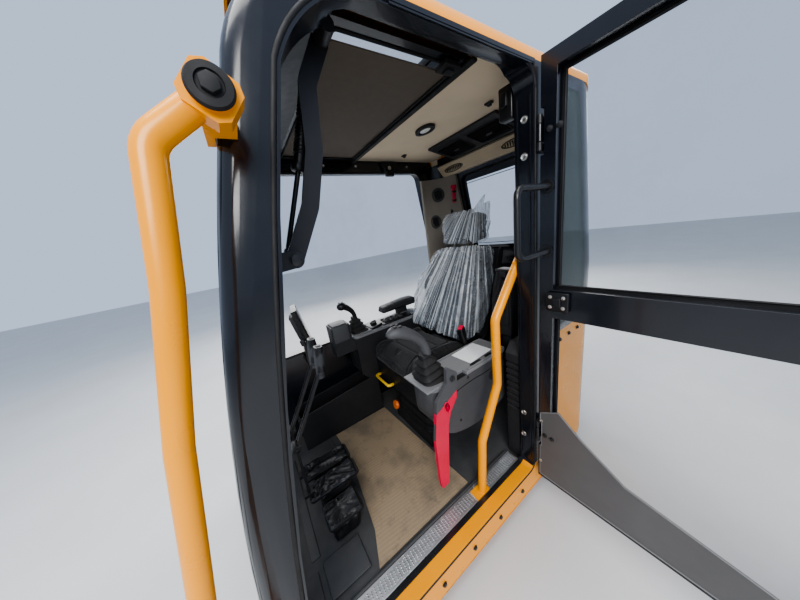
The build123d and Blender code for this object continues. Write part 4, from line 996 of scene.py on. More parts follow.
bm = bmesh.new()
BOOTS = (  # x, y, height, half width below, at the top, tall, lean in radians
    (LEFT_X, LEFT_Y, LEFT_TOP, 62, 27, 104, 0.12), (RIGHT_X, RIGHT_Y, RIGHT_TOP, 52, 23, 86, 0.10),
)
for x, y, h, low, top, tall, lean in BOOTS:
    place = Matrix.Translation(at(x, y, h + 0.6)) @ Matrix.Rotation(lean, 4, "X")
    into(bm, bellows(low, top, tall, 4), place)
piece("joystick_boots.folded", bm, rubber, "cab", sharp=28, stands_for=("joystick_boots",))
bm = bmesh.new()
for x, y, h, wide in ((LEFT_X, LEFT_Y, LEFT_TOP, 150), (RIGHT_X, RIGHT_Y, RIGHT_TOP, 122)):
    into(bm, slab(wide, wide, 7, 3, 3), Matrix.Translation(at(x, y, h + 3)))
piece("boot_collars", bm, pale_grain, "cab")

# %% [markdown]
# The left grip is a bent, hand-shaped stick. A curve with its own thickness at each point gives that
# swelling form; flats, buttons and a trigger are then added where thumb and finger would lie.

# %% Joystick grips
def swelling(places, radii, flat=1.0):
    """A closed bar along points, each with its own radius; flat widens it across."""
    curve = bpy.data.curves.new("grip", "CURVE")
    curve.dimensions = "3D"
    curve.resolution_u = 8
    curve.bevel_depth = 1.0
    curve.bevel_resolution = 5
    curve.use_fill_caps = True
    spline = curve.splines.new("NURBS")
    spline.points.add(len(places) - 1)
    for spot, place, radius in zip(spline.points, places, radii):
        spot.co = (*place, 1)
        spot.radius = radius / 1000
    spline.order_u = 4
    spline.use_endpoint_u = True
    carrier = bpy.data.objects.new("grip", curve)
    bpy.context.scene.collection.objects.link(carrier)
    bpy.context.view_layer.update()
    depsgraph = bpy.context.evaluated_depsgraph_get()
    made = bpy.data.meshes.new_from_object(carrier.evaluated_get(depsgraph))
    bm = bmesh.new()
    bm.from_mesh(made)
    bmesh.ops.remove_doubles(bm, verts=bm.verts, dist=WELD)
    bmesh.ops.recalc_face_normals(bm, faces=bm.faces)
    bpy.data.meshes.remove(made)
    bpy.data.objects.remove(carrier)
    middle = sum((Vector(p) for p in places), Vector()) / len(places)
    for v in bm.verts:
        v.co.x = middle.x + (v.co.x - middle.x) * flat
    return bm


GRIP = (  # y, height, radius
    (-134, 606, 17), (-138, 640, 19), (-156, 674, 20), (-194, 708, 22), (-234, 736, 25),
    (-268, 742, 22), (-286, 732, 9),
)
grip_line = [at(LEFT_X, y, h) for y, h, radius in GRIP]
bm = swelling(grip_line, [radius for y, h, radius in GRIP], flat=1.18)
piece("grip_left", bm, mid_grain, "cab", sharp=None, stands_for=("joystick_grips",))
bm = bmesh.new()
for dx, dy in ((-11, 10), (11, 10), (-11, -10), (11, -10)):
    into(bm, post(6, 5, 1.2, 18), facing(at(LEFT_X + dx, -246 + dy, 758 - 0.2 * dy), (0, -0.2, 1)))
into(bm, slab(9, 12, 26, 3, 3), facing(at(LEFT_X, -262, 716), (0, -0.6, 0.9)))
for i in range(6):
    into(bm, slab(38, 2.2, 2.4, 0.8), facing(at(LEFT_X, -150 - 9 * i, 650 + 9 * i), (0, 0.6, 0.8)))
piece("grip_left_buttons", bm, dark_grain, "cab")

SHORT_GRIP = ((-178, 640, 11), (-180, 672, 12), (-196, 700, 14), (-222, 722, 18), (-244, 734, 20))
grip_line = [at(RIGHT_X, y, h) for y, h, radius in SHORT_GRIP]
bm = swelling(grip_line, [radius for y, h, radius in SHORT_GRIP], flat=1.05)
ball = bmesh.new()
bmesh.ops.create_icosphere(ball, subdivisions=4, radius=0.0235)
bmesh.ops.scale(ball, vec=(1.0, 1.15, 0.92), verts=ball.verts)
into(bm, ball, Matrix.Translation(at(RIGHT_X, -241, 729)))
piece("grip_right", bm, smooth_black, "cab", sharp=None)
bm = bmesh.new()
for dx, dy in ((-9, -6), (8, -6), (0, 8)):
    into(bm, post(5, 5, 1.2, 18), facing(at(RIGHT_X + dx, -242 + dy, 748), (dx / 60, dy / 60, 1)))
piece("grip_right_buttons", bm, mid_grain, "cab")

# %% [markdown]
# The right console carries the machine's switches: rows of rockers in a black panel, a turning knob
# for engine speed, a key lock and a small cluster of soft keys. They are many and alike, so each row
# comes from a loop over its places.

# %% Right console: panel and switches
KNOB_X, KNOB_Y = -300, -78
KNOB_WAY = (0, -0.18, 1)  # leans toward the front
KNURLS = 18
bm = bmesh.new()
into(bm, slab(118, 260, 7, 2.5, 3), Matrix.Translation(at(-312, 92, 562)))
into(bm, slab(92, 74, 16, 4, 3), facing(at(KNOB_X, KNOB_Y, 566), KNOB_WAY))
piece("switch_panel", bm, smooth_black, "cab")
bm = bmesh.new()
caps = bmesh.new()
for row in range(4):
    for column in range(3):
        x = -280 - 24 * column
        y = 34 * row
        into(bm, slab(20, 28, 5, 1.5), Matrix.Translation(at(x, y, 567)))
        tip = Matrix.Rotation(0.16 if (row + column) % 2 else -0.16, 4, "X")
        into(caps, slab(15, 23, 5, 1.6, 3), Matrix.Translation(at(x, y, 571)) @ tip)
piece("switch_frames", bm, dark_grain, "cab")
piece("switch_rockers", caps, mid_grain, "cab")
bm = post(19, 13, 2.0, 36)
into(bm, slab(4, 30, 4, 1.2), Matrix.Translation((0, 0.004, 0.0145)))
knob = bmesh.new()
seat = facing(at(KNOB_X, KNOB_Y, 575), KNOB_WAY)
into(knob, bm, seat)
for i in range(KNURLS):
    turn = Matrix.Rotation(math.tau * i / KNURLS, 4, "Z") @ Matrix.Translation((0.019, 0, 0.007))
    into(knob, slab(1.6, 2.0, 10, 0.5, 1), seat @ turn)
piece("speed_knob", knob, dark_grain, "cab")
bm = post(9, 6, 1.2, 24)
into(bm, slab(3, 9, 15, 1.0), Matrix.Translation((0, 0, 0.012)))
lock = bmesh.new()
into(lock, bm, Matrix.Translation(at(-262, 178, 566)))
piece("key_lock", lock, zinc, "cab")
bm = bmesh.new()
for i in range(2):
    for j in range(5):
        into(bm, slab(13, 10, 3, 1.2), Matrix.Translation(at(-330 - 17 * i, 140 + 14 * j, 566.5)))
piece("soft_keys", bm, pale_grain, "cab")

# %% [markdown]
# The paler block ahead of the right console, the tray lip round the left console's top and the black
# pocket in it are moulded parts of their own. A blank card lies on the left console.

# %% Console fittings
LIP_FRONT, LIP_REAR, LIP_LEFT, LIP_RIGHT, LIP_TOP = -60, 246, 330, 197, 501
CONSOLE_SIDE = 335  # the left console's outer wall
bm = bmesh.new()
into(bm, slab(90, 88, 92, 7, 4), Matrix.Translation(at(-289, -292, 602)))
into(bm, slab(82, 78, 6, 3, 3), Matrix.Translation(at(-289, -292, 650)))
piece("console_head", bm, mid_grain, "cab")
bm = bmesh.new()
for a, b in (((LIP_RIGHT, LIP_REAR), (LIP_RIGHT, LIP_FRONT)), ((LIP_LEFT, LIP_REAR), (LIP_LEFT, 10)),
             ((LIP_RIGHT, LIP_REAR), (LIP_LEFT, LIP_REAR))):
    into(bm, follow([at(*a, LIP_TOP), at(*b, LIP_TOP)], radius=3.2), Matrix())
piece("console_lip", bm, pale_grain, "cab")
bm = bmesh.new()
into(bm, slab(24, 56, 3, 1.0), Matrix.Translation(at(323, -39, 485)))
into(bm, slab(18, 40, 6, 2.0), Matrix.Translation(at(322, 150, 501)))
into(bm, slab(14, 60, 5, 1.5), Matrix.Translation(at(322, 66, 501.5)))
piece("console_pocket", bm, smooth_black, "cab")
bm = bmesh.new()
for i in range(14):
    into(bm, slab(10, 2.0, 3.2, 0.7, 1), Matrix.Translation(at(LIP_LEFT, -2 + 5.4 * i, 502)))
piece("console_ribs", bm, pale_grain, "cab", sharp=30)
bm = slab(104, 150, 1.2, 0.4, 1)
sheet_card = bmesh.new()
into(sheet_card, bm, Matrix.Translation(at(254, 120, 501.2)) @ Matrix.Rotation(0.05, 4, "Z"))
piece("console_card", sheet_card, paper, "cab")
bm = bmesh.new()
for radius, length, edge in ((24, 5, 1.5), (18, 6.5, 1.2)):
    into(bm, post(radius, length, edge, 40), facing(at(CONSOLE_SIDE - 3.5, 150, 410), (1, 0, 0)))
for y, h in ((-118, 420), (-60, 300), (130, 290), (228, 460), (0, 470)):
    into(bm, cap_screw(5.5, 3), facing(at(CONSOLE_SIDE, y, h), (1, 0, 0)))
piece("console_side_caps", bm, dark_grain, "cab")
SPLIT = ((240, 452), (120, 440), (20, 448), (-80, 440), (-168, 430))
bm = follow([at(CONSOLE_SIDE + 0.4, y, h) for y, h in SPLIT], section=(3.0, 1.6), smooth=True)
piece("console_split_line", bm, smooth_black, "cab")

# %% [markdown]
# The safety lever is a grey arm whose handle is moulded in signal red. Two cuts across the lever's
# mesh mark where the red begins, and the faces past them take the second finish.

# %% Safety lever in two finishes
PIVOT_Y, PIVOT_H = -108, 530
ARM_END, ARM_WAY = at(0, -150, 446), Vector((0, -0.45, 1))
STRIP_EDGE, STRIP_WAY = at(0, -204, 360), Vector((0, 1, 0.06))
lever = bpy.data.objects["safety_lever.dressed"]
bm = bmesh.new()
bm.from_mesh(lever.data)
cut_through(bm, ARM_END, ARM_WAY)
cut_through(bm, STRIP_EDGE, STRIP_WAY)
for face in bm.faces:
    middle = face.calc_center_median()
    above = (middle - ARM_END).dot(ARM_WAY) > 0
    strip = (middle - STRIP_EDGE).dot(STRIP_WAY) < 0 and middle.z > at(0, 0, 300).z
    face.material_index = 0 if above or strip else 1
bm.to_mesh(lever.data)
bm.free()
bm = bmesh.new()
into(bm, post(12, 3.5, 1.0, 30), facing(at(360.2, PIVOT_Y, PIVOT_H), (1, 0, 0)))
into(bm, hex_bolt(12, 5), facing(at(364, PIVOT_Y, PIVOT_H), (1, 0, 0)))
piece("lever_pivot_nut", bm, black_zinc, "cab")
turns = [(math.cos(a), math.sin(a)) for a in np.linspace(0, math.tau, 24, endpoint=False)]
for side in (345, 361):
    ring = [at(side, -145 + 12 * c - 6 * s, 428 + 22 * s + 3 * c) for c, s in turns]
    piece(f"lever_hole_rim_{side}", follow(ring, radius=2.2, closed=True), signal_red, "safety_lever")

# %% [markdown]
# Foot controls. The travel pedals are ribbed rubber treads on steel plates, tied to two long hand
# levers with thick grips. On a new machine their feet are still wrapped in crumpled black film, which
# is modelled as a lump with ridged noise, since nobody will ever need its exact folds.

# %% Pedal treads and lever grips
TRAVEL_X = (-52, 50)  # the two travel levers
RIB_STEP = 16
TREADS = (  # x, front, rear, width, top
    (TRAVEL_X[0], -652, -446, 84, 118), (TRAVEL_X[1], -652, -446, 84, 118), (165, -622, -486, 104, 94),
)
bm = bmesh.new()
for x, front, rear, width, top in TREADS:
    for i in range(int((rear - front - 30) / RIB_STEP)):
        place = at(x, front + 22 + RIB_STEP * i, top + 1)
        into(bm, slab(width - 20, 7, 5, 1.8), Matrix.Translation(place))
    for side in (-1, 1):
        place = at(x + side * (width / 2 - 6), (front + rear) / 2, top + 1)
        into(bm, slab(5, rear - front - 24, 6, 2.0), Matrix.Translation(place))
piece("pedal_ribs", bm, rubber, "cab")
HANDLE = ((-488, 590, 14), (-482, 620, 19), (-478, 655, 20), (-472, 692, 19), (-471, 706, 9))
bm = bmesh.new()
for x in TRAVEL_X:
    line = [at(x, y, h) for y, h, radius in HANDLE]
    into(bm, swelling(line, [radius for y, h, radius in HANDLE]), Matrix())
    into(bm, post(15, 14, 3, 28), facing(at(x, -490, 578), (0, 0.12, 1)))
piece("travel_lever_grips", bm, mid_grain, "cab", sharp=None)
bm = bmesh.new()
for x in TRAVEL_X:
    into(bm, slab(40, 30, 26, 3, 2), facing(at(x, -640, 352), (0, 0.5, 0.86)))
    for side in (-1, 1):
        into(bm, hex_bolt(10, 5), facing(at(x + side * 20, -640, 352), (side, 0, 0)))
piece("travel_lever_knuckles", bm, satin_steel, "cab")

# %% Film-wrapped pedal gaiters
def crumpled(x0, x1, y0, y1, h0, h1, seed, depth=12):
    """A block wrapped in loose film: remeshed, then pushed in by ridged noise up to a depth."""
    bm = bmesh.new()
    bmesh.ops.create_cube(bm, size=1)
    bmesh.ops.scale(bm, vec=((x1 - x0) / 1000, (y1 - y0) / 1000, (h1 - h0) / 1000), verts=bm.verts)
    bmesh.ops.translate(bm, vec=at((x0 + x1) / 2, (y0 + y1) / 2, (h0 + h1) / 2), verts=bm.verts)
    rounded(bm, 22, 4)
    mesh = mesh_of(bm, 0.006)
    spots, rise = coords(mesh), normals(mesh)
    for i, spot in enumerate(spots):
        p = Vector(spot) * 13 + Vector((seed, seed * 0.7, 0))
        bent = p + Vector((noise.noise(p * 0.6), noise.noise(p * 0.6 + Vector((9, 0, 0))), 0)) * 1.4
        ridge = abs(noise.noise(bent)) * 1.3 + 0.22 * abs(noise.noise(bent * 2.3))
        spots[i] -= rise[i] * depth / 1000 * ridge * (1.0 if spot[2] > at(0, 0, h0 + 12).z else 0.2)
    lay(mesh, spots)
    return subdivided(mesh)


GAITERS = (  # x from, to, y from, to, height from, to, seed
    (-92, -14, -618, -486, 2, 101, 4), (12, 90, -618, -486, 2, 101, 8),
    (118, 212, -616, -504, 2, 78, 12),
)
COVERS = (  # the same, and the depth of the folds
    (-98, -8, -654, -452, 106, 128, 21, 14), (6, 96, -654, -452, 106, 128, 27, 14),
    (112, 218, -624, -486, 82, 104, 33, 12),
)
bm = bmesh.new()
for row in GAITERS:
    into(bm, crumpled(*row), Matrix())
piece("pedal_gaiters.wrapped", bm, bag_black, "cab", sharp=None, stands_for=("pedal_gaiters",))
bm = bmesh.new()
for row in COVERS:
    into(bm, crumpled(*row), Matrix())
piece("pedal_covers", bm, bag_black, "cab", sharp=None)

# %% [markdown]
# The floor. The rubber mat is moulded with raised flats for the heels and a rim along its edges. A
# sheet of corrugated card protects it, its paler cut edge showing. The door sill is a plate of
# bright metal pressed with rows of small domes, which are like pieces by the hundred, so each dome
# has very few faces.

# %% Mat, sill plate and card edge
PADS = (  # x from, to, y from, to, tall
    (-290, 200, -705, -672, 5), (225, 340, -672, -536, 9), (238, 372, -738, -690, 7),
    (-290, -120, -640, -470, 6),
)
bm = bmesh.new()
for x0, x1, y0, y1, tall in PADS:
    place = at((x0 + x1) / 2, (y0 + y1) / 2, tall / 2 - 0.5)
    into(bm, slab(x1 - x0, y1 - y0, tall, 3, 3), Matrix.Translation(place))
for i in range(9):
    into(bm, slab(300, 5, 3, 1.2), Matrix.Translation(at(-40, 300 + 30 * i, 1)))
into(bm, slab(10, 790, 12, 3, 3), Matrix.Translation(at(378, -236, 5)))
piece("mat_flats", bm, mat_rubber, "cab")
bm = bmesh.new()
plate_low, plate_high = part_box("tread_plate")
rows = 5
columns = 66
dome_height = 0.0016
for i in range(columns):
    for j in range(rows):
        share = (j + 0.25 + 0.5 * (i % 2)) / rows
        x = plate_low.x + 0.0075 + (plate_high.x - plate_low.x - 0.015) * share
        y = plate_low.y + 0.012 + (plate_high.y - plate_low.y - 0.024) * i / (columns - 1)
        dome = bmesh.new()
        bmesh.ops.create_cone(dome, cap_ends=True, segments=10, radius1=0.0033, radius2=0.0016,
                              depth=dome_height)
        into(bm, dome, Matrix.Translation((x, y, plate_high.z + dome_height / 2)))
piece("tread_domes", bm, tread_metal, "cab", sharp=None)
bm = bmesh.new()
for y in (-620, -440, -260, -80, 100):
    for x in (392, 430):
        into(bm, cap_screw(4.5, 2.6), Matrix.Translation(at(x, y, 12)))
piece("tread_screws", bm, zinc, "cab")

CARD = [(-298, -115), (359, -80), (363, -517), (254, -478), (-112, -430), (-298, -440)]
FLUTE = 0.0072  # metres from one flute to the next
bm = bmesh.new()
edge_ring = [at(x, y, 2.3) for x, y in CARD]
for a, b in zip(edge_ring, edge_ring[1:] + edge_ring[:1]):
    length = (b - a).length
    count = int(length / FLUTE)
    along = (b - a).normalized()
    for i in range(count):
        rib = slab(0.9, 0.9, 3.2, 0.2, 1)
        into(bm, rib, Matrix.Translation(a + along * (i + 0.5) * length / count))
piece("card_flutes", bm, card, "cab", sharp=None)
bm = bmesh.new()
for low, high in ((0.3, 0.9), (3.7, 4.7)):
    face = bm.faces.new([bm.verts.new(at(x * 1.001, y * 1.001, low)) for x, y in CARD])
    grown_part = bmesh.ops.extrude_face_region(bm, geom=[face])["geom"]
    rise = [v for v in grown_part if isinstance(v, bmesh.types.BMVert)]
    bmesh.ops.translate(bm, vec=(0, 0, (high - low) / 1000), verts=rise)
bmesh.ops.recalc_face_normals(bm, faces=bm.faces)
piece("card_skins", bm, card, "cab", sharp=30, stands_for=("floor_sheet",))

# %% [markdown]
# Seals have to follow the panes and the openings exactly, so their lines are read from the CAD
# faces themselves: all faces of a node that lie on one plane are found, and the edges that only
# one of them uses are chained into closed outlines.

# %% Helper: outlines read from the CAD
def length_round(loop):
    """Length of a closed flat loop."""
    return sum(math.dist(p, q) for p, q in zip(loop, loop[1:] + loop[:1]))


def loops_on(node, axis, value, reach=3e-5):
    """Closed outlines of a node's faces on a plane, as flat points, the longest first."""
    bm = bmesh.new()
    bm.from_mesh(nodes[node].data)
    bmesh.ops.remove_doubles(bm, verts=bm.verts, dist=CAD_WELD)
    flat = {f for f in bm.faces if all(abs(v.co[axis] - value) < reach for v in f.verts)}
    # A dict keeps the order of the mesh, so that every run starts each outline at the same edge.
    rim = {e: True for e in bm.edges if sum(g in flat for g in e.link_faces) == 1}
    across, upward = [i for i in range(3) if i != axis]
    loops = []
    while rim:
        edge = next(iter(rim))
        del rim[edge]
        chain = [edge.verts[0], edge.verts[1]]
        step = edge
        while step:
            step = next((e for e in chain[-1].link_edges if e in rim), None)
            if step:
                del rim[step]
                chain.append(step.other_vert(chain[-1]))
        loops.append([(v.co[across], v.co[upward]) for v in chain[:-1]])
    bm.free()
    return sorted(loops, key=length_round, reverse=True)


def on_plane(loop, axis, value):
    """Lifts flat points back onto their plane."""
    return [Vector((value, a, b) if axis == 0 else (a, value, b)) for a, b in loop]


def seal(bm, loop, axis, value, radius=None, section=None, grow=0.0):
    """Lays a closed rubber section along an outline."""
    line = on_plane(grown(loop, grow) if grow else loop, axis, value)
    into(bm, follow(line, radius=radius, section=section, closed=True), Matrix())

# %% [markdown]
# The roof liner carries a lamp, two clips and the vent panel, whose deep recesses hold slanted
# slats. The rear header has two oval vents. Slats repeat, so each vent is one loop. Felt coves
# close the two rear corners, where the liner meets the roof's skin.

# %% Roof lining: lamp, clips and vents
bm = bmesh.new()
bmesh.ops.create_uvsphere(bm, u_segments=32, v_segments=12, radius=1.0)
bmesh.ops.scale(bm, vec=(0.030, 0.019, 0.006), verts=bm.verts)
bmesh.ops.translate(bm, vec=at(0, 215, 1481), verts=bm.verts)
piece("lamp_lens", bm, lamp_white, "cab", sharp=None)
bm = bmesh.new()
for x, y in ((-323, 324), (250, 329)):
    into(bm, slab(30, 20, 7, 2.0), Matrix.Translation(at(x, y, 1485)))
    into(bm, slab(16, 12, 12, 3.0), Matrix.Translation(at(x, y + 3, 1481)))
piece("liner_clips", bm, dark_grain, "cab")
bm = bmesh.new()
knobs = bmesh.new()
for x0, x1 in ((-190, -18), (20, 194)):
    rim = corners([(x0, 455), (x1, 455), (x1, 585), (x0, 585)], 16)
    line = [at(x, y, 1469.5 - 0.198 * (y - 455)) for x, y in rim]
    into(bm, follow(line, radius=3.4, closed=True), Matrix())
    middle = (x0 + x1) / 2
    for i in range(7):
        y = 468 + 17 * i
        place = at(middle, y, 1464 - 0.09 * (y - 455))
        tilted = Matrix.Translation(place) @ Matrix.Rotation(0.75, 4, "X")
        into(bm, slab(x1 - x0 - 6, 15, 2.2, 0.8, 1), tilted)
    into(knobs, slab(34, 9, 10, 2.5), Matrix.Translation(at(middle, 524, 1452)))
    into(knobs, slab(40, 6, 5, 2.0), Matrix.Translation(at(middle - 40, 600, 1441)))
piece("vent_slats", bm, dark_grain, "cab")
piece("vent_knobs", knobs, mid_grain, "cab")
bm = bmesh.new()
for centre in (-255, 160):
    ring = [at(centre + 74 * math.cos(a), 649.5 - 7.2 * math.sin(a), 1404 + 15 * math.sin(a))
            for a in np.linspace(0, math.tau, 40, endpoint=False)]
    into(bm, follow(ring, radius=2.6, closed=True), Matrix())
    for i in range(9):
        x = centre - 56 + 14 * i
        tall = 24 * math.sqrt(1 - ((x - centre) / 74) ** 2)
        into(bm, slab(2.2, 9, tall, 0.6, 1), facing(at(x, 653, 1404), (0, -0.43, 0.9)))
piece("header_slats", bm, dark_grain, "cab")
bm = bmesh.new()
into(bm, slab(42, 60, 13, 3, 3), Matrix.Translation(at(374, -16, 1468)))
into(bm, slab(20, 26, 8, 2), Matrix.Translation(at(374, -16, 1460)))
ring = corners([(-373, -338), (373, -338), (373, 19), (-373, 19)], 8)
into(bm, follow([at(x, y, 1476.5) for x, y in ring], radius=3.5, closed=True), Matrix())
into(bm, slab(840, 22, 9, 3, 3), Matrix.Translation(at(0, 39, 1474)))
piece("hatch_trim", bm, rubber, "cab")
bm = bmesh.new()
for side in (-1, 1):
    into(bm, slab(98, 40, 12, 3, 3), Matrix.Translation(at(side * 384, 616, 1494)))
    into(bm, slab(54, 5, 44, 2, 2), Matrix.Translation(at(side * 404, 633, 1480)))
piece("liner_coves", bm, felt, "cab")

# %% [markdown]
# A trapezoid plate hangs from the right rail, and screws with bright heads hold the rails. The
# curved pillar trims have round vents: a ring, a dark well and fins that can be turned.

# %% Right rail, pillar vents, hammer and hook
bm = prism([(220, 1482), (332, 1482), (304, 1402), (250, 1402)], -439, -421)
rounded(bm, 4, 3)
into(bm, slab(20, 50, 26, 4, 3), Matrix.Translation(at(-424, 277, 1416)))
piece("rail_bracket", bm, smooth_black, "cab")
bm = bmesh.new()
into(bm, hex_bolt(15, 6), facing(at(-420.5, 276, 1448), (1, 0, 0)))
for y in (-126, 60, 420):
    into(bm, cap_screw(6.5, 3.5), facing(at(-440, y, 1460), (1, 0, 0)))
piece("rail_bolts", bm, zinc, "cab")
VENTS = (((-393, 625, 1272), (0.81, -0.57, -0.10)), ((-418, 603, 1097), (0.97, -0.24, -0.04)))
bm = bmesh.new()
fins = bmesh.new()
for place, way in VENTS:
    spot = facing(at(*place), way, 20)
    into(bm, lathe([(31, -3), (32, 4), (36, 8), (42, 7), (46, 2), (46, -3)], 44), spot)
    into(fins, post(31, 1.5, 0, 32), spot)
    for i in range(5):
        wide = 2 * math.sqrt(30**2 - (12 * (i - 2)) ** 2)
        turn = Matrix.Translation((0, 0.012 * (i - 2), 0.005)) @ Matrix.Rotation(0.6, 4, "X")
        into(fins, slab(wide, 11, 2.0, 0.7, 1), spot @ turn)
    into(fins, slab(7, 9, 10, 2.0), spot @ Matrix.Translation((0, 0, 0.006)))
piece("pillar_vent_rings", bm, mid_grain, "cab", sharp=30)
piece("pillar_vent_fins", fins, dark_grain, "cab")
hammer_way = Vector((0.17, -0.14, 1)).normalized()
bm = bmesh.new()
for along in (-34, 20):
    place = at(-301, 684, 1253) + hammer_way * along / 1000
    into(bm, slab(22, 30, 12, 3, 3), facing(place, hammer_way, 16))
piece("hammer_clips", bm, dark_grain, "cab")
bm = slab(34, 10, 40, 3, 3)
into(bm, slab(16, 26, 10, 3, 3), Matrix.Translation((0, -0.014, -0.012)))
hook = bmesh.new()
into(hook, bm, facing(at(-338, 702, 1143), (-0.1, 0.14, 1), 35))
piece("coat_hook", hook, smooth_black, "cab")
# %% [markdown]
# The door opening has a hollow rubber seal pressed into its groove. It stands a few millimetres
# proud, so that the closed door can press on it. Window edges get a slimmer rubber section.

# %% Seals of the opening and the windows
bm = bmesh.new()
groove = loops_on("side_frame_left", 0, 0.494)
seal(bm, groove[0], 0, 0.4985, radius=4.6, grow=-0.004)
seal(bm, groove[0], 0, 0.4975, section=(7.5, 3.0), grow=-0.004)
piece("opening_seal", bm, rubber, "cab", sharp=None)
bm = bmesh.new()
INNER_FACE = 0.440  # metres from the middle to the inner faces of the side frames
REAR_LEAN = 0.1821  # how far the rear wall runs forward for each unit up, above a height of 820
right_hole = loops_on("side_frame_right", 0, -INNER_FACE)[1]
left_loops = loops_on("side_frame_left", 0, INNER_FACE)
quarter_hole = [loop for loop in left_loops if min(p[0] for p in loop) > 0.2][0]
for loop, plane in ((right_hole, -0.4405), (quarter_hole, 0.4405)):
    seal(bm, loop, 0, plane, section=(15, 4), grow=0.002)
    seal(bm, loop, 0, plane, radius=4.0, grow=-0.001)
rear_ring = corners([(-250, 864), (250, 864), (250, 1350), (-250, 1350)], 45)
line = [at(x, 795 - REAR_LEAN * (h - 820), h) for x, h in rear_ring]
into(bm, follow(line, radius=6, closed=True), Matrix())
for node in ("windscreen_lower", "windscreen_upper"):
    low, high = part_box(node)
    for x in (low.x, high.x):
        rim = loops_on(node, 0, x, 2e-4)[0]
        inner = sorted({round(z, 4): y for y, z in sorted(rim)}.items())
        into(bm, follow([Vector((x, y + 0.004, z)) for z, y in inner], radius=6.5), Matrix())
    for z, y in (inner[0], inner[-1]):
        ends = [Vector((x, y + 0.004, z)) for x in (low.x, high.x)]
        into(bm, follow(ends, radius=6.5), Matrix())
piece("window_seals", bm, rubber, "cab", sharp=None)

# %% [markdown]
# Laminated screens have a printed black border that hides the glue. It needs no shape: the glass
# finish turns opaque black past a line set in Object coordinates.

# %% Printed borders of the screens
def bordered(name, node, side, top, foot):
    """Glass that is opaque black within a width of its sides, top and foot."""
    mat = pane_glass.copy()
    mat.name = name
    tree = mat.node_tree
    shader = tree.nodes["Principled BSDF"]
    low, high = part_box(node)
    spot = put(tree, "ShaderNodeTexCoord").outputs["Object"]
    place = put(tree, "ShaderNodeSeparateXYZ", Vector=spot).outputs
    from_side = put(tree, "ShaderNodeMath", {"operation": "ABSOLUTE"}, _0=place[0]).outputs[0]
    border = spread(tree, from_side, high.x - side - 0.001, high.x - side, 0, 1)
    for mask in (spread(tree, place[2], high.z - top - 0.001, high.z - top, 0, 1),
                 spread(tree, place[2], low.z + foot, low.z + foot + 0.001, 1, 0)):
        border = sum_of(tree, "MAXIMUM", border, mask)
    clear_part = shader.inputs["Alpha"].links[0].from_socket
    tree.links.new(sum_of(tree, "MAXIMUM", border, clear_part), shader.inputs["Alpha"])
    glass_tone = shader.inputs["Base Color"].links[0].from_socket
    toned = blend_of(tree, border, glass_tone, [0.006, 0.006, 0.007, 1])
    tree.links.new(toned, shader.inputs["Base Color"])
    mesh = nodes[node].data
    mesh.materials.clear()
    mesh.materials.append(mat)


bordered("upper_screen_glass", "windscreen_upper", 0.055, 0.090, 0.030)
bordered("lower_screen_glass", "windscreen_lower", 0.050, 0.030, 0.040)
bordered("rear_screen_glass", "rear_window", 0.030, 0.035, 0.030)
bm = bmesh.new()
for y, h, tall in ((-585, 1205, 60), (-628, 1062, 44)):
    into(bm, slab(30, 26, tall, 4, 3), facing(at(402, y, h), (0, 0.25, 1)))
    into(bm, slab(14, 34, 16, 3, 2), facing(at(392, y + 14, h - 8), (0, 0.25, 1)))
piece("screen_catches", bm, smooth_black, "cab")
bm = bmesh.new()
for y, h in ((-573, 1222), (-576, 1190), (-616, 1072)):
    into(bm, hex_bolt(9, 4), facing(at(386, y, h), (-1, 0, 0)))
    into(bm, hex_bolt(9, 4), facing(at(417, y, h), (1, 0, 0)))
piece("catch_bolts", bm, zinc, "cab")

# %% [markdown]
# The door stands open at a right angle, so its inner side looks forward. It gets seals round its
# panes, screws in its lower trim, a paler bead along that trim, latch parts and hinge bolts.
# All of these ride on the door, so they swing with it when it closes.

# %% Door fittings
bm = bmesh.new()
for node in ("door_glass_upper", "door_glass_lower"):
    low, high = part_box(node)
    ring = loops_on(node, 1, low.y)[0]
    seal(bm, ring, 1, low.y, section=(4.5, 13), grow=-0.003)
    seal(bm, ring, 1, low.y - 0.002, radius=3.6, grow=-0.009)
    seal(bm, ring, 1, high.y + 0.0008, section=(1.2, 13), grow=-0.003)
piece("door_glass_seals", bm, rubber, "door", sharp=30)
bm = bmesh.new()
trim_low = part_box("door_trim")[0]
edge = loops_on("door_trim", 1, trim_low.y)[0]
line = on_plane(grown(edge, -0.003), 1, trim_low.y)
into(bm, follow(line, radius=1.8, closed=True), Matrix())
piece("door_trim_bead", bm, pale_grain, "door", sharp=None)
bm = bmesh.new()
for x, h in ((526, 268), (526, 66)):
    into(bm, cap_screw(6, 3), facing(at(x, 187, h), (0, -1, 0)))
for x, h in ((556, 790), (594, 790), (556, 756), (594, 756)):
    into(bm, hex_bolt(8, 4), facing(at(x, 172.5, h), (0, -1, 0)))
piece("door_screws", bm, zinc, "door")
bm = bmesh.new()
into(bm, slab(66, 11, 62, 3, 3), Matrix.Translation(at(575, 179, 773)))
into(bm, slab(26, 9, 30, 3, 3), Matrix.Translation(at(575, 172, 773)))
for h in (936, 1126):
    into(bm, lathe([(0, 0), (20, 0), (20, 1.6), (17, 2.4), (11, 2.4), (9.5, 8), (0, 8)], 32),
         facing(at(534, 187, h), (0, -1, 0)))
piece("door_brackets", bm, smooth_black, "door", sharp=32)
bm = bmesh.new()
latch_low, latch_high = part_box("door_latch")
middle = (latch_low + latch_high) / 2
into(bm, slab(70, 8, 26, 3, 3), Matrix.Translation(Vector((middle.x, latch_low.y - 0.003, middle.z))))
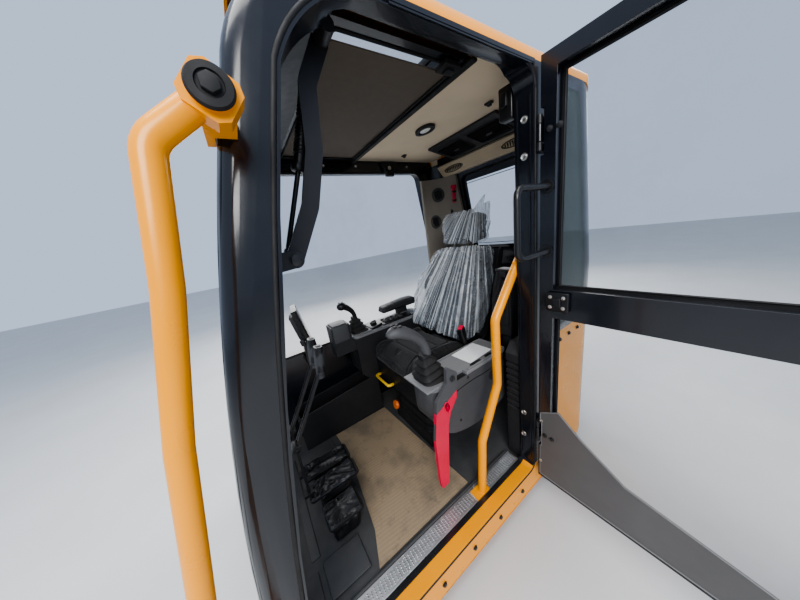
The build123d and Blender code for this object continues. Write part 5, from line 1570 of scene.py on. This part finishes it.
into(bm, post(9, 6, 1.5, 26), facing(Vector((latch_low.x + 0.022, latch_low.y, middle.z)), (0, -1, 0)))
piece("latch_lever", bm, mid_grain, "door")

# %% [markdown]
# On the pillar sit bright screws in two pairs, two thin ribs and a small black box at its head.
# Bolts hold each hinge to the pillar and to the door.

# %% Pillar fittings and hinge bolts
HINGES = (1275, 205)  # heights of their middles
bm = bmesh.new()
for x, h in ((472, 1324), (471, 1226), (459, 271), (458, 160)):
    into(bm, cap_screw(8.5, 5), facing(at(x, 180, h), (0, -1, 0)))
    into(bm, post(11, 1.4, 0.4, 26), facing(at(x, 180, h), (0, -1, 0)))
piece("pillar_screws", bm, zinc, "cab")
bm = bmesh.new()
for x in (449, 488):
    into(bm, follow([at(x, 179, h) for h in (60, 1380)], section=(4, 5)), Matrix())
piece("pillar_ribs", bm, frame_black, "cab")
bm = bmesh.new()
into(bm, slab(46, 34, 92, 5, 3), Matrix.Translation(at(412, 196, 1392)))
into(bm, slab(20, 12, 40, 3, 3), Matrix.Translation(at(412, 176, 1400)))
piece("pillar_box", bm, smooth_black, "cab")
bm = bmesh.new()
for height in HINGES:
    for low in (height - 46, height + 24):
        for y in (212, 240):
            into(bm, hex_bolt(12, 6), facing(at(510, y, low + 11), (1, 0, 0)))
piece("hinge_bolts", bm, black_zinc, "cab")
bm = bmesh.new()
for height in HINGES:
    for x in (540, 566):
        into(bm, hex_bolt(11, 5), facing(at(x, 186.5, height), (0, -1, 0)))
piece("door_hinge_bolts", bm, black_zinc, "door")

# %% [markdown]
# Outside, bolts hold the lower panels and the mounts, a drip strip runs over the door, the handrail
# ends in discs, and beads line the rear window. Bolts are alike, so a loop sets them out.

# %% Outside fittings
bm = bmesh.new()
for side in (-1, 1):
    wall = 500.0 * side
    for y in range(300, 560, 80):
        for h in (-66, 540 if side > 0 else 430):
            into(bm, hex_bolt(12, 5), facing(at(wall, y, h), (side, 0, 0)))
for y in range(-660, 260, 150):
    into(bm, hex_bolt(12, 5), facing(at(-500, y, -66), (-1, 0, 0)))
    into(bm, hex_bolt(12, 5), facing(at(-500, y, 430), (-1, 0, 0)))
    into(bm, hex_bolt(12, 5), facing(at(500, y, -50), (1, 0, 0)))
piece("panel_bolts", bm, black_zinc, "cab")
bm = bmesh.new()
into(bm, follow([at(501.5, y, 1450) for y in (-300, 178)], section=(5, 9)), Matrix())
into(bm, follow([at(501.2, y, 1443) for y in (-290, 178)], section=(4, 3)), Matrix())
piece("drip_strip", bm, frame_black, "cab")
bm = bmesh.new()
disc = lathe([(0, 0), (21, 0), (22, 2), (20, 6), (13, 7), (12, 5), (0, 5)], 40)
into(bm, disc, facing(at(589, -597, 1230), (1, 0, 0)))
into(bm, post(10, 7, 1.2, 6), facing(at(593, -597, 1230), (1, 0, 0)))
into(bm, lathe([(0, 0), (13, 0), (13, 3), (9, 5), (0, 5)], 30), facing(at(580, -806, 262), (1, 0, 0)))
piece("rail_discs", bm, rubber, "cab", sharp=32)
bm = bmesh.new()
for sx in (-1, 1):
    for sy in (-1, 1):
        for step in range(4):
            turn = math.tau * (step + 0.5) / 4
            place = Vector((sx * 0.4 + 0.068 * math.cos(turn), sy * 0.62 + 0.068 * math.sin(turn), 0.010))
            into(bm, hex_bolt(8, 4), Matrix.Translation(place))
piece("mount_bolts", bm, zinc, "cab")
bm = bmesh.new()
for h in (908, 1306):
    line = [at(x, 830.5 - REAR_LEAN * (h - 820), h) for x in (-236, 236)]
    into(bm, follow(line, section=(5, 3)), Matrix())
piece("rear_beads", bm, rubber, "cab")

# %% [markdown]
# The armrest over the right console is padded like the seat, only firmer, on a moulded arm.

# %% Armrest
bm = prism([(6, 602), (264, 602), (262, 648), (190, 652), (16, 640)], -395, -317)
rounded(bm, 14, 4)
arm_mesh = mesh_of(bm, 0.006)
blow(arm_mesh, 3.0, 0.007, held=coords(arm_mesh)[:, 2] < at(0, 0, 608).z)
bm = subdivided(arm_mesh)
seam_pull(bm, (lambda p: abs(p.z - at(0, 0, 626).z), lambda p: abs(p.y - 0.092)), 2.5, 4.0)
armrest = piece("armrest_right.padded", bm, dark_grain, "cab", sharp=None,
                stands_for=("armrest_right",))
bm = slab(36, 72, 42, 4, 3)
carrier = bmesh.new()
into(carrier, bm, Matrix.Translation(at(-356, 160, 581)))
piece("armrest_post", carrier, dark_grain, "cab")

# %% [markdown]
# Around the seat: the buckle on its stiff strap, the belt's retractor tower with the webbing that
# comes out of it, the yellow handle that slides the seat, and an orange turning knob.

# %% Seat fittings
bm = bmesh.new()
into(bm, slab(26, 40, 70, 6, 4), facing(at(176, 152, 560), (0.1, -0.25, 1)))
into(bm, slab(10, 26, 130, 3, 3), facing(at(178, 176, 470), (0.02, -0.3, 1)))
piece("belt_buckle", bm, smooth_black, "cab")
bm = bmesh.new()
into(bm, slab(20, 30, 10, 3, 3), facing(at(179.5, 143, 594), (0.1, -0.25, 1)))
piece("buckle_button", bm, signal_red, "cab")
bm = bmesh.new()
into(bm, slab(66, 46, 300, 9, 4), Matrix.Translation(at(318, 300, 690)))
into(bm, slab(50, 10, 210, 5, 3), Matrix.Translation(at(318, 276, 700)))
into(bm, slab(150, 10, 60, 3, 2), Matrix.Translation(at(236, 290, 372)))
into(bm, slab(46, 12, 210, 3, 2), Matrix.Translation(at(316, 300, 450)))
into(bm, slab(74, 54, 16, 6, 4), Matrix.Translation(at(318, 300, 842)))
piece("belt_tower", bm, dark_grain, "cab")
bm = bmesh.new()
web = [at(318, 274, 838), at(310, 262, 800), at(300, 258, 720), at(290, 262, 600),
       at(250, 282, 470), at(214, 290, 400)]
into(bm, follow(web, section=(46, 1.6), smooth=True, tilt=math.radians(90)), Matrix())
piece("belt_webbing", bm, belt_web, "cab", sharp=None)
bm = bmesh.new()
into(bm, slab(40, 8, 26, 3, 3), Matrix.Translation(at(318, 268, 830)))
for x in (180, 200, 300):
    into(bm, hex_bolt(12, 5), facing(at(x, 284.5, 372), (0, -1, 0)))
piece("belt_bolts", bm, black_zinc, "cab")
bar = [at(-214, -128, 300), at(-214, -150, 301), at(-208, -160, 301), at(-80, -160, 301),
       at(-74, -150, 301), at(-74, -128, 300)]
bm = follow(bar, radius=8, sides=16)
piece("slide_handle", bm, yellow_grip, "cab", sharp=None)
knob = lathe([(0, 0), (16, 0), (26, 3), (28, 12), (24, 18), (10, 21), (0, 21)], 12)
bm = bmesh.new()
into(bm, knob, facing(at(-172, -80, 84), (0, -1, 0.2)))
piece("turning_knob", bm, orange_knob, "cab", sharp=30)

# %% [markdown]
# The monitor's face is a bronze-tinted screen in a rounded rim, with a row of keys below it. The
# lift arm gets its bolts, and the gas strut its collars and a sleeve of fine turns.

# %% Monitor and lift arm fittings
turned = Matrix(((0.98, 0.17, 0), (-0.17, 0.98, 0), (0, 0, 1))).to_4x4()
face = Matrix.Translation(at(-352, -452, 672)) @ turned @ Matrix.Rotation(0.19, 4, "X")
bm = bmesh.new()
into(bm, slab(112, 2.4, 196, 1.0, 2), face @ Matrix.Translation((0, 0.0135, 0.006)))
piece("monitor_screen", bm, screen_bronze, "cab")
bm = bmesh.new()
for i in range(6):
    into(bm, slab(12, 4, 9, 1.2), face @ Matrix.Translation((-0.042 + 0.017 * i, 0.0135, -0.101)))
piece("monitor_keys", bm, mid_grain, "cab")
bm = bmesh.new()
into(bm, slab(88, 26, 120, 5, 3), face @ Matrix.Translation((0, -0.022, 0.02)))
for dx in (-0.03, 0.03):
    into(bm, slab(16, 24, 30, 4, 3), face @ Matrix.Translation((dx, -0.03, -0.07)))
piece("monitor_back", bm, dark_grain, "cab")
bm = bmesh.new()
for y, h, size in ((-528, 1040, 20), (-383, 1432, 17)):
    into(bm, hex_bolt(size, 7), facing(at(384, y, h), (-1, 0, 0)))
    into(bm, hex_bolt(size, 7), facing(at(402, y, h), (1, 0, 0)))
into(bm, post(12.5, 5, 1.2, 28), facing(at(400, -528, 1040), (1, 0, 0)))
piece("arm_bolts", bm, black_zinc, "cab")
bm = bmesh.new()
way = Vector((0, -53, -152)).normalized()
into(bm, post(13.5, 16, 3, 30), facing(at(372, -470, 1226), way))
into(bm, post(13, 10, 2, 30), facing(at(372, -423, 1360), way))
COIL = 0.0112  # radius in metres
COIL_RISE = 0.0011  # metres for each radian
coil = facing(at(372, -425, 1354), way)
helix = [coil @ Vector((COIL * math.cos(a), COIL * math.sin(a), COIL_RISE * a))
         for a in np.arange(0, 112, 0.36)]
into(bm, follow(helix, radius=1.7), Matrix())
for i in range(9):
    into(bm, post(12.2, 3, 1, 26), facing(at(372, -431, 1334) + way * 0.0115 * i, way))
piece("strut_rings", bm, smooth_black, "cab")

# %% [markdown]
# The cab stands on a plain pale floor under soft light from a big pale sky. Four wide softboxes, by
# the door, above, on the far side and at the rear, give the black paint long calm reflections. The
# view's look has a little more contrast than the plain one, as daylight has.

# %% Floor, sky and lights
bm = bmesh.new()
bmesh.ops.create_grid(bm, x_segments=1, y_segments=1, size=14)
ground_mesh = bpy.data.meshes.new("ground")
bm.to_mesh(ground_mesh)
bm.free()
ground_mesh.materials.append(finish("ground", (0.56, 0.56, 0.55), 0.03, 2, (0.7, 0.8), 5, 0.1, 3.0))
ground = bpy.data.objects.new("ground", ground_mesh)
bpy.context.scene.collection.objects.link(ground)
world = bpy.data.worlds.new("sky")
bpy.context.scene.world = world
world.use_nodes = True
sky = world.node_tree.nodes["Background"]
sky.inputs[0].default_value = (0.62, 0.74, 0.95, 1)
sky.inputs[1].default_value = 0.85
bpy.context.scene.view_settings.look = "AgX - Medium High Contrast"
LIGHTS = (  # name, place, aims at, size, watts
    ("softbox_door", (3.4, -2.2, 3.0), (0.2, 0.0, 0.9), 2.2, 170),
    ("softbox_top", (0.4, -0.6, 4.6), (0.0, 0.0, 0.9), 3.0, 150),
    ("softbox_far", (-3.6, 0.6, 2.4), (0.0, 0.0, 0.9), 2.4, 100),
    ("softbox_rear", (-1.6, 4.2, 2.6), (0.0, 0.3, 0.9), 2.4, 90),
)
for name, place, aim, size, watts in LIGHTS:
    lamp = bpy.data.lights.new(name, "AREA")
    lamp.size = size
    lamp.energy = watts
    lamp.color = (1.0, 0.98, 0.95)
    holder = bpy.data.objects.new(name, lamp)
    holder.matrix_world = facing(Vector(place), Vector(place) - Vector(aim))
    bpy.context.scene.collection.objects.link(holder)
print("lights:", len(LIGHTS))

# %% [markdown]
# Last, the number of pieces made is printed.

# %% Count of pieces
print("pieces made:", len(made_pieces))
